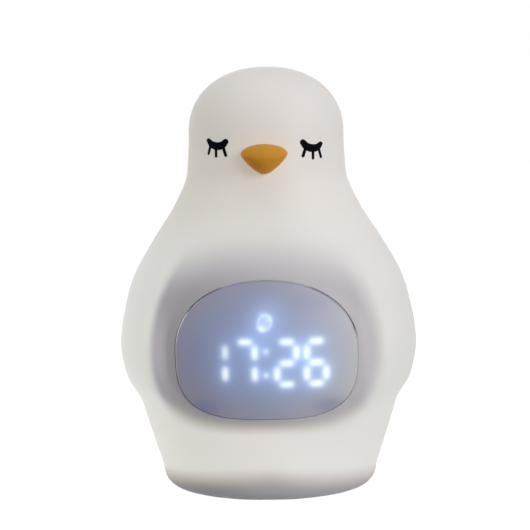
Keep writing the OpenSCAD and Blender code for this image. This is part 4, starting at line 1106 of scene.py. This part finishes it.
BEAK_COLUMNS, BEAK_RINGS, BEAK_POWERS, BEAK_SHRINK = 128, 40, (1.88, 1.28), 0.9
# Beak in metres: what its rounded tip takes off, where it starts and its root lies behind the face, its stem
TIP_LOSS, BEAK_START, BEAK_ROOT, STEM_R = 0.7 * MM, 0.5 * MM, 1.6 * MM, 3 * MM
# The tip's rounding: slope, and radius at the root and at the front
TIP_SLOPE, TIP_SOFT, TIP_SOFTER = 0.48, 0.8 * MM, 4.5 * MM


def beak_mesh(form, face):
    """Outlines that shrink by cos(a)^p while they move out by sin(a) and droop. Their lower tip is
    rounded by adding m (sqrt(x^2 + s^2) - |x|), where m is less than the sides' slope."""
    theta = np.arange(BEAK_COLUMNS) / BEAK_COLUMNS * TURN
    front = -form.body.head_front
    down = face.beak_down + TIP_LOSS
    rings = []
    for a in np.linspace(0, math.pi / 2, BEAK_RINGS)[:-1]:
        share, out = math.cos(a) ** BEAK_SHRINK, math.sin(a)
        x, z = superellipse(theta, share * face.beak_w / 2, share * face.beak_up, share * down, *BEAK_POWERS)
        rounding = TIP_SLOPE * (np.hypot(x, share * mix(TIP_SOFT, TIP_SOFTER, out)) - np.abs(x))
        z = z + np.where(z < 0, rounding, 0) * ease(0, -3 * MM * share, z)
        y = mix(front + BEAK_START, front - face.beak_proud, out)
        rings.append(np.stack([x, np.full(len(x), y), face.beak_z - face.beak_droop * out + z], -1))
    root, neck = rings[0].copy(), rings[0].copy()
    root[:, 1] = front + BEAK_ROOT
    neck[:, 0] = STEM_R * np.cos(theta)
    neck[:, 1] = front + BEAK_ROOT
    neck[:, 2] = root[:, 2].mean() + STEM_R * np.sin(theta)
    tail = neck.copy()
    tail[:, 1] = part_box("beak")[1][1]
    build = Build()
    closed_rings(build, np.stack([tail, neck, root] + rings))
    return build.mesh("beak_surface")


class BIRD_OT_beak(bpy.types.Operator):
    """Makes the beak"""

    bl_idname = "bird.beak"
    bl_label = "Beak"

    def execute(self, context):
        face = context.scene.bird_face
        mesh = beak_mesh(BodyForm(context.scene), face)
        place("beak_surface", mesh, beak_finish(face.beak_z), "beak_mustard", "beak")
        return {"FINISHED"}


STROKE_STEPS, STROKE_SIDES, CAP_STEPS = 28, 20, 8
THINNEST, SLOPE_STEP = 0.02 * MM, 0.05 * MM


def stroke(build, points, radii, surface, proud, sink, facing=-1):
    """A flat bead with round ends along points in X and Z, lying on surface(x, z): its section is an
    ellipse as wide as the stroke, proud above the surface and sunk below it."""
    points, radii = np.array(points, float), np.array(radii, float)
    lengths = np.concatenate([[0], np.cumsum(np.hypot(*np.diff(points, axis=0).T))])
    along = np.linspace(0, lengths[-1], STROKE_STEPS)
    curve = np.stack([smooth_path(lengths, points[:, k], along) for k in (0, 1)], -1)
    radius = smooth_path(lengths, radii, along)
    start, end = curve[0] - curve[1], curve[-1] - curve[-2]
    start, end = start / np.hypot(*start), end / np.hypot(*end)
    cap = np.linspace(math.pi / 2, 0, CAP_STEPS + 1)[:-1]
    head = curve[0] + start * (radius[0] * np.sin(cap))[:, None]
    tail = curve[-1] + end * (radius[-1] * np.sin(cap[::-1]))[:, None]
    centre = np.concatenate([head, curve[1:-1], tail])
    half = np.concatenate([radius[0] * np.cos(cap), radius[1:-1], radius[-1] * np.cos(cap[::-1])])
    half = np.maximum(half, THINNEST)
    tangent = np.gradient(centre, axis=0)
    tangent[:CAP_STEPS], tangent[-CAP_STEPS:] = -start, end
    tangent /= np.hypot(*tangent.T)[:, None]
    side = np.stack([-tangent[:, 1], tangent[:, 0]], -1)
    turn = np.arange(STROKE_SIDES) / STROKE_SIDES * TURN
    flat = centre[:, None, :] + side[:, None, :] * (half[:, None] * np.cos(turn))[..., None]
    x, z = flat[..., 0], flat[..., 1]
    slope_x, slope_z = (
        (surface(x + dx, z + dz) - surface(x - dx, z - dz)) / (2 * SLOPE_STEP)
        for dx, dz in ((SLOPE_STEP, 0), (0, SLOPE_STEP))
    )
    normal = np.stack([-slope_x, np.ones(x.shape), -slope_z], -1)
    normal *= facing / np.linalg.norm(normal, axis=-1, keepdims=True)
    rise = np.where(np.sin(turn) > 0, proud, sink) * np.sin(turn)
    share = np.minimum(half / radii.min(), 1)
    rings = np.stack([x, surface(x, z), z], -1) + normal * (share[:, None] * rise)[..., None]
    closed_rings(build, rings)


def smooth_path(knots, values, at):
    """Catmull-Rom interpolation of values given at knots."""
    slopes = np.gradient(values, knots)
    i = np.clip(np.searchsorted(knots, at, side="right") - 1, 0, len(knots) - 2)
    step = knots[i + 1] - knots[i]
    return hermite((at - knots[i]) / step, values[i], step * slopes[i], values[i + 1], step * slopes[i + 1])


def place_strokes(name, build, *rest, **more):
    """Places beads as a piece, with every face turned outwards."""
    mesh = build.mesh(name)
    work = bmesh.new()
    work.from_mesh(mesh)
    bmesh.ops.recalc_face_normals(work, faces=work.faces)
    work.to_mesh(mesh)
    work.free()
    place(name, mesh, *rest, **more)


# Strokes of a closed eye in millimetres: across from its middle, away from the beak, up, radius
LID = [(-3.6, 2.4, 1.2), (-2.2, 0.9, 1.5), (0.1, 0.25, 1.6), (2.3, 0.85, 1.4), (3.5, 2.2, 0.9)]
LASHES = [
    [(-2.5, 0.2, 0.66), (-3.6, -3.15, 0.62)],
    [(0.45, -0.6, 0.55), (0.45, -3.9, 0.53)],
    [(2.8, 0.1, 0.5), (3.65, -3.25, 0.47)],
]
EYE_SINK = 0.5 * MM


class BIRD_OT_eyes(bpy.types.Operator):
    """Makes the two closed eyes"""

    bl_idname = "bird.eyes"
    bl_label = "Closed Eyes"

    def execute(self, context):
        """Beads on the face; both eyes lean the same way, so one sits a little lower."""
        form = BodyForm(context.scene)
        face = context.scene.bird_face
        material = eye_finish("eye_black")
        lean = math.tan(face.eye_lean)
        for name, side in (("eye_right", 1), ("eye_left", -1)):
            build = Build()
            middle_z = face.eye_z - side * face.eye_skew
            for line in [LID] + LASHES:
                points = [
                    (side * (face.eye_x + x * MM), middle_z + (z - side * x * lean) * MM)
                    for x, z, _ in line
                ]
                radii = [r * MM for _, _, r in line]
                stroke(build, points[::side], radii[::side], form.brow, face.eye_proud, EYE_SINK)
            place_strokes(name + "_surface", build, material, "eye_black", name)
        return {"FINISHED"}


def circle(r, steps=24):
    """Points of a circle round the origin."""
    return [(r * math.cos(a), r * math.sin(a)) for a in np.linspace(0, TURN, steps)]


def key_marks():
    """Strokes of the generic sign on each key, in millimetres about the key's middle."""
    rays = [list(ray) for ray in zip(circle(2.9, 9)[:-1], circle(3.8, 9)[:-1])]
    side = [(-1.5, -0.9), (-1.0, -0.4), (-0.95, 0.6), (-0.5, 1.35)]
    bell = side + [(0, 1.5)] + [(-x, z) for x, z in side[::-1]]
    bar = [(-1.4, 0), (1.4, 0)]
    return {
        "light": [circle(1.7)] + rays,
        "minus": [bar],
        "plus": [bar, [(0, -1.4), (0, 1.4)]],
        "clock": [circle(1.6), [(0, 0.95), (0, 0), (0.75, -0.35)]],
        "alarm": [bell, [(-1.5, -0.9), (1.5, -0.9)], [(-0.35, -1.4), (0.35, -1.4)]],
    }


# Key signs: line radius, height above the key and depth in it; then the key's rim and its dish's sphere
MARK_R, MARK_PROUD, MARK_SINK = 0.24 * MM, 0.05 * MM, 0.2 * MM
KEY_RIM, DISH_SHARE, DISH_EDGE = 1.2 * MM, 2.2, 1 * MM


class BIRD_OT_key_marks(bpy.types.Operator):
    """Prints a sign on each key of the rear panel"""

    bl_idname = "bird.key_marks"
    bl_label = "Key Signs"

    def execute(self, context):
        """Beads on the dish of each key, a sphere of radius 2.2 r."""
        material = moulded_finish("key_print", (0.09, 0.09, 0.1), 0.5)
        for name, strokes in key_marks().items():
            low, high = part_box(name + "_button")
            x0, z0 = (low[0] + high[0]) / 2, (low[2] + high[2]) / 2
            cap_r = (high[0] - low[0]) / 2 - KEY_RIM
            sphere = DISH_SHARE * cap_r
            centre_y = high[1] + math.sqrt(sphere**2 - (cap_r - DISH_EDGE) ** 2)

            def dish(x, z):
                """Depth of the key's face, c - sqrt(R^2 - dx^2 - dz^2)."""
                return centre_y - np.sqrt(sphere**2 - (x - x0) ** 2 - (z - z0) ** 2)

            build = Build()
            for line in strokes:
                points = [(x0 - x * MM, z0 + z * MM) for x, z in line]
                stroke(build, points, [MARK_R] * len(points), dish, MARK_PROUD, MARK_SINK, 1)
            place_strokes(name + "_mark", build, material, "dark_plastic", body=name + "_key")
        return {"FINISHED"}


MERGE, FLAT, SHARP = 1e-6, math.radians(2), math.radians(40)


def softened(node, width):
    """A merged copy of a CAD node's mesh whose sharp edges are rounded."""
    mesh = frame["nodes"][node].data.copy()
    mesh.name = node + "_soft"
    mesh.materials.clear()
    work = bmesh.new()
    work.from_mesh(mesh)
    bmesh.ops.remove_doubles(work, verts=work.verts, dist=MERGE)
    bmesh.ops.dissolve_limit(work, angle_limit=FLAT, verts=work.verts, edges=work.edges)
    work.to_mesh(mesh)
    work.free()
    piece = link(node + "_soft", mesh)
    bevel = piece.modifiers.new("edges", "BEVEL")
    bevel.width = width
    bevel.segments = 2
    bevel.limit_method = "ANGLE"
    bevel.angle_limit = SHARP
    bevel.use_clamp_overlap = True
    mesh.shade_smooth()
    piece.modifiers.new("normals", "WEIGHTED_NORMAL").keep_sharp = True
    body = next(b for b, nodes in frame["record"]["behaviour"]["bodies"].items() if node in nodes)
    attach(piece, body)
    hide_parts(node)


class BIRD_OT_edges(bpy.types.Operator):
    """Rounds the edges of the hard pieces that show"""

    bl_idname = "bird.edges"
    bl_label = "Rounded Edges"

    NODES = (
        "rear_panel", "base_plate", "battery_cap", "rubber_feet", "light_button", "minus_button",
        "plus_button", "clock_button", "alarm_button", "power_switch_knob", "usb_socket",
    )
    # Edge widths in millimetres, where they aren't the usual one
    USUAL = 0.3
    WIDTHS = {"rear_panel": 0.35, "rubber_feet": 0.35, "power_switch_knob": 0.12, "usb_socket": 0.08}

    def execute(self, context):
        for node in self.NODES:
            softened(node, self.WIDTHS.get(node, self.USUAL) * MM)
        return {"FINISHED"}


class BIRD_OT_finishes(bpy.types.Operator):
    """Gives every piece its finish"""

    bl_idname = "bird.finishes"
    bl_label = "Finishes"

    # The finish of each of the record's slots; skin, lens and beak have theirs from their own operators
    MAKERS = {
        "grey_plastic": (moulded_finish, (0.07, 0.072, 0.08), 0.5),
        "white_plastic": (moulded_finish, (0.72, 0.72, 0.7)),
        "dark_plastic": (moulded_finish, (0.02, 0.02, 0.022), 0.5, 0.25),
        "diffuser_plastic": (moulded_finish, (0.85, 0.85, 0.82), 0.6, 0.6),
        "light_button_plastic": (moulded_finish, (0.60, 0.31, 0.06), 0.55, 0.25),
        "button_plastic": (moulded_finish, (0.5, 0.5, 0.5), 0.55, 0.25),
        "light_guide": (guide_finish,),
        "led_chip": (chip_finish,),
        "circuit_board": (board_finish, (0.008, 0.10, 0.035), (0.02, 0.19, 0.06)),
        "light_board": (board_finish, (0.82, 0.82, 0.8), (0.7, 0.7, 0.66)),
        "steel": (metal_finish, (0.62, 0.62, 0.63)),
        "copper_foil": (metal_finish, (0.75, 0.38, 0.22), (6, 1, 1), 0.28),
        "flat_cable": (cable_finish, (0.78, 0.74, 0.62), 1.0),
        "red_wire": (cable_finish, (0.5, 0.03, 0.02)),
        "speaker_paper": (paper_finish, (0.015, 0.015, 0.016), (0.06, 0.058, 0.055)),
        "foot_rubber": (rubber_finish, (0.17, 0.17, 0.175)),
        "seal_rubber": (rubber_finish, (0.02, 0.02, 0.02)),
        "eye_black": (eye_finish,),
    }

    def execute(self, context):
        """Puts a slot's finish on each CAD node that uses it and on its rounded copy."""
        finishes = {slot: maker(slot, *values) for slot, (maker, *values) in self.MAKERS.items()}
        shell = tuple(context.scene.bird_finish.shell)
        finishes["panel_plastic"] = moulded_finish("panel_plastic", shell, 0.5, 0.3, 0.03)
        for part in frame["record"]["subparts"]:
            node, slot = part["node"], part["material_slot"]
            copy = bpy.data.objects.get(node + "_soft")
            for piece in filter(None, (frame["nodes"][node], copy)):
                self.dress(piece.data, finishes.get(slot))
        return {"FINISHED"}

    @staticmethod
    def dress(mesh, material):
        """Puts one material in all of a mesh's slots."""
        if material and not mesh.materials:
            mesh.materials.append(material)
        for slot in range(len(mesh.materials) if material else 0):
            mesh.materials[slot] = material


class BIRD_OT_stage(bpy.types.Operator):
    """Sets the floor, the lights and the camera"""

    bl_idname = "bird.stage"
    bl_label = "Stage"

    FLOOR_HALF, FLOOR_TONE, FLOOR_WHITE = 3.0, 0.6, 1.02
    AMBIENT = (0.95, 0.96, 1.04)
    # Each light's place and size in metres
    LIGHTS = {
        "key": ((0.75, -0.8, 0.5), 0.6),
        "side": ((-1.0, 0.1, 0.3), 0.9),
        "top": ((0.05, -0.1, 1.2), 0.9),
    }
    LIGHTS_AIM = (0, 0, 0.09)

    def execute(self, context):
        scene, stage = context.scene, context.scene.bird_stage
        scene.world = bpy.data.worlds.new("studio")
        self.world(scene.world, stage)
        self.floor(stage)
        for name, (where, size) in self.LIGHTS.items():
            self.light(name + "_light", where, size, getattr(stage, name))
        scene.camera = self.camera(stage)
        scene.view_settings.view_transform = "Standard"
        return {"FINISHED"}

    @staticmethod
    def seen_apart(tree, lit, white):
        """White to camera, glossy and transmitted rays, and lit to all others."""
        names = ("Is Camera Ray", "Is Glossy Ray", "Is Transmission Ray")
        seen, *others = (tree.node("LightPath", {}, {}, name) for name in names)
        for other in others:
            seen = seen.atleast(other)
        return tree.node("MixShader", {}, {0: seen, 1: lit, 2: white})

    def world(self, world, stage):
        """White where it is seen, and an even soft light elsewhere."""
        tree = Tree(world)
        even = tree.node("Background", {}, {"Color": self.AMBIENT, "Strength": stage.ambient})
        white = tree.node("Background", {}, {"Color": (1, 1, 1)})
        tree.node("OutputWorld", {}, {0: self.seen_apart(tree, even, white)})

    def floor(self, stage):
        """A wide pale floor that shows white and keeps the clock's shadow."""
        half, tone = self.FLOOR_HALF, self.FLOOR_TONE
        corners = [(-half, -half, 0), (half, -half, 0), (half, half, 0), (-half, half, 0)]
        mesh = bpy.data.meshes.new("floor")
        mesh.from_pydata(corners, [], [(0, 1, 2, 3)])
        material = bpy.data.materials.new("floor")
        tree = Tree(material)
        matte = tree.node("BsdfDiffuse", {}, {"Color": (tone, tone, tone)})
        pale = tree.node("Emission", {}, {"Strength": self.FLOOR_WHITE - tone * stage.ambient})
        both = tree.node("AddShader", {}, {0: matte, 1: pale})
        tree.node("OutputMaterial", {}, {0: self.seen_apart(tree, matte, both)})
        mesh.materials.append(material)
        link("floor", mesh)

    def light(self, name, where, size, power):
        """A square soft light that looks at the clock: its Z axis points away, its X axis is level."""
        data = bpy.data.lights.new(name, "AREA")
        data.shape, data.size, data.energy = "SQUARE", size, power
        back = np.array(where) - np.array(self.LIGHTS_AIM)
        right = np.cross([0, 0, 1], back)
        axes = np.array([right, np.cross(back, right), back])
        axes /= np.linalg.norm(axes, axis=1, keepdims=True)
        lamp = link(name, data)
        lamp.location = where
        lamp.rotation_euler = Matrix(axes.T.tolist()).to_euler()

    @staticmethod
    def camera(stage):
        """Looks at the clock from azimuth and elevation, with a slight roll."""
        a, e, r = stage.azimuth, stage.elevation, stage.roll
        back = np.array([math.sin(a) * math.cos(e), -math.cos(a) * math.cos(e), math.sin(e)])
        right = np.array([math.cos(a), math.sin(a), 0])
        up = np.cross(back, right)
        right, up = right * math.cos(r) + up * math.sin(r), up * math.cos(r) - right * math.sin(r)
        data = bpy.data.cameras.new("camera")
        data.sensor_width, data.lens = SENSOR_W, stage.lens
        data.shift_x, data.shift_y = stage.shift_x, stage.shift_y
        camera = link("camera", data)
        at = np.array([0, 0, stage.aim_z]) + back * stage.distance
        rows = np.stack([right, up, back, at], -1)
        camera.matrix_world = Matrix([*rows.tolist(), [0, 0, 0, 1]])
        return camera


class BIRD_PT_panel(bpy.types.Panel):
    """Lists the clock's pieces"""

    bl_idname = "BIRD_PT_panel"
    bl_label = "Bird Clock"
    bl_space_type = "VIEW_3D"
    bl_region_type = "UI"
    bl_category = "Bird Clock"

    def draw(self, context):
        """A button for each operator, then a box with each group of settings."""
        for operator in OPERATORS:
            self.layout.operator(operator.bl_idname)
        for name, group in SETTINGS.items():
            box = self.layout.box()
            for key in group.__annotations__:
                box.prop(getattr(context.scene, name), key)


OPERATORS = [
    BIRD_OT_skin,
    BIRD_OT_lens,
    BIRD_OT_beak,
    BIRD_OT_eyes,
    BIRD_OT_key_marks,
    BIRD_OT_edges,
    BIRD_OT_finishes,
    BIRD_OT_stage,
]
CLASSES = [*SETTINGS.values(), *OPERATORS, BIRD_PT_panel]


def register():
    """Adds the classes, and the settings to the scene."""
    for cls in CLASSES:
        bpy.utils.register_class(cls)
    for name, group in SETTINGS.items():
        setattr(bpy.types.Scene, name, PointerProperty(type=group))


def unregister():
    """Takes both away again."""
    for name in SETTINGS:
        delattr(bpy.types.Scene, name)
    for cls in reversed(CLASSES):
        bpy.utils.unregister_class(cls)


def main():
    """Makes everything in order."""
    register()
    for operator in OPERATORS:
        group, name = operator.bl_idname.split(".")
        getattr(getattr(bpy.ops, group), name)()


if __name__ == "__main__":
    main()
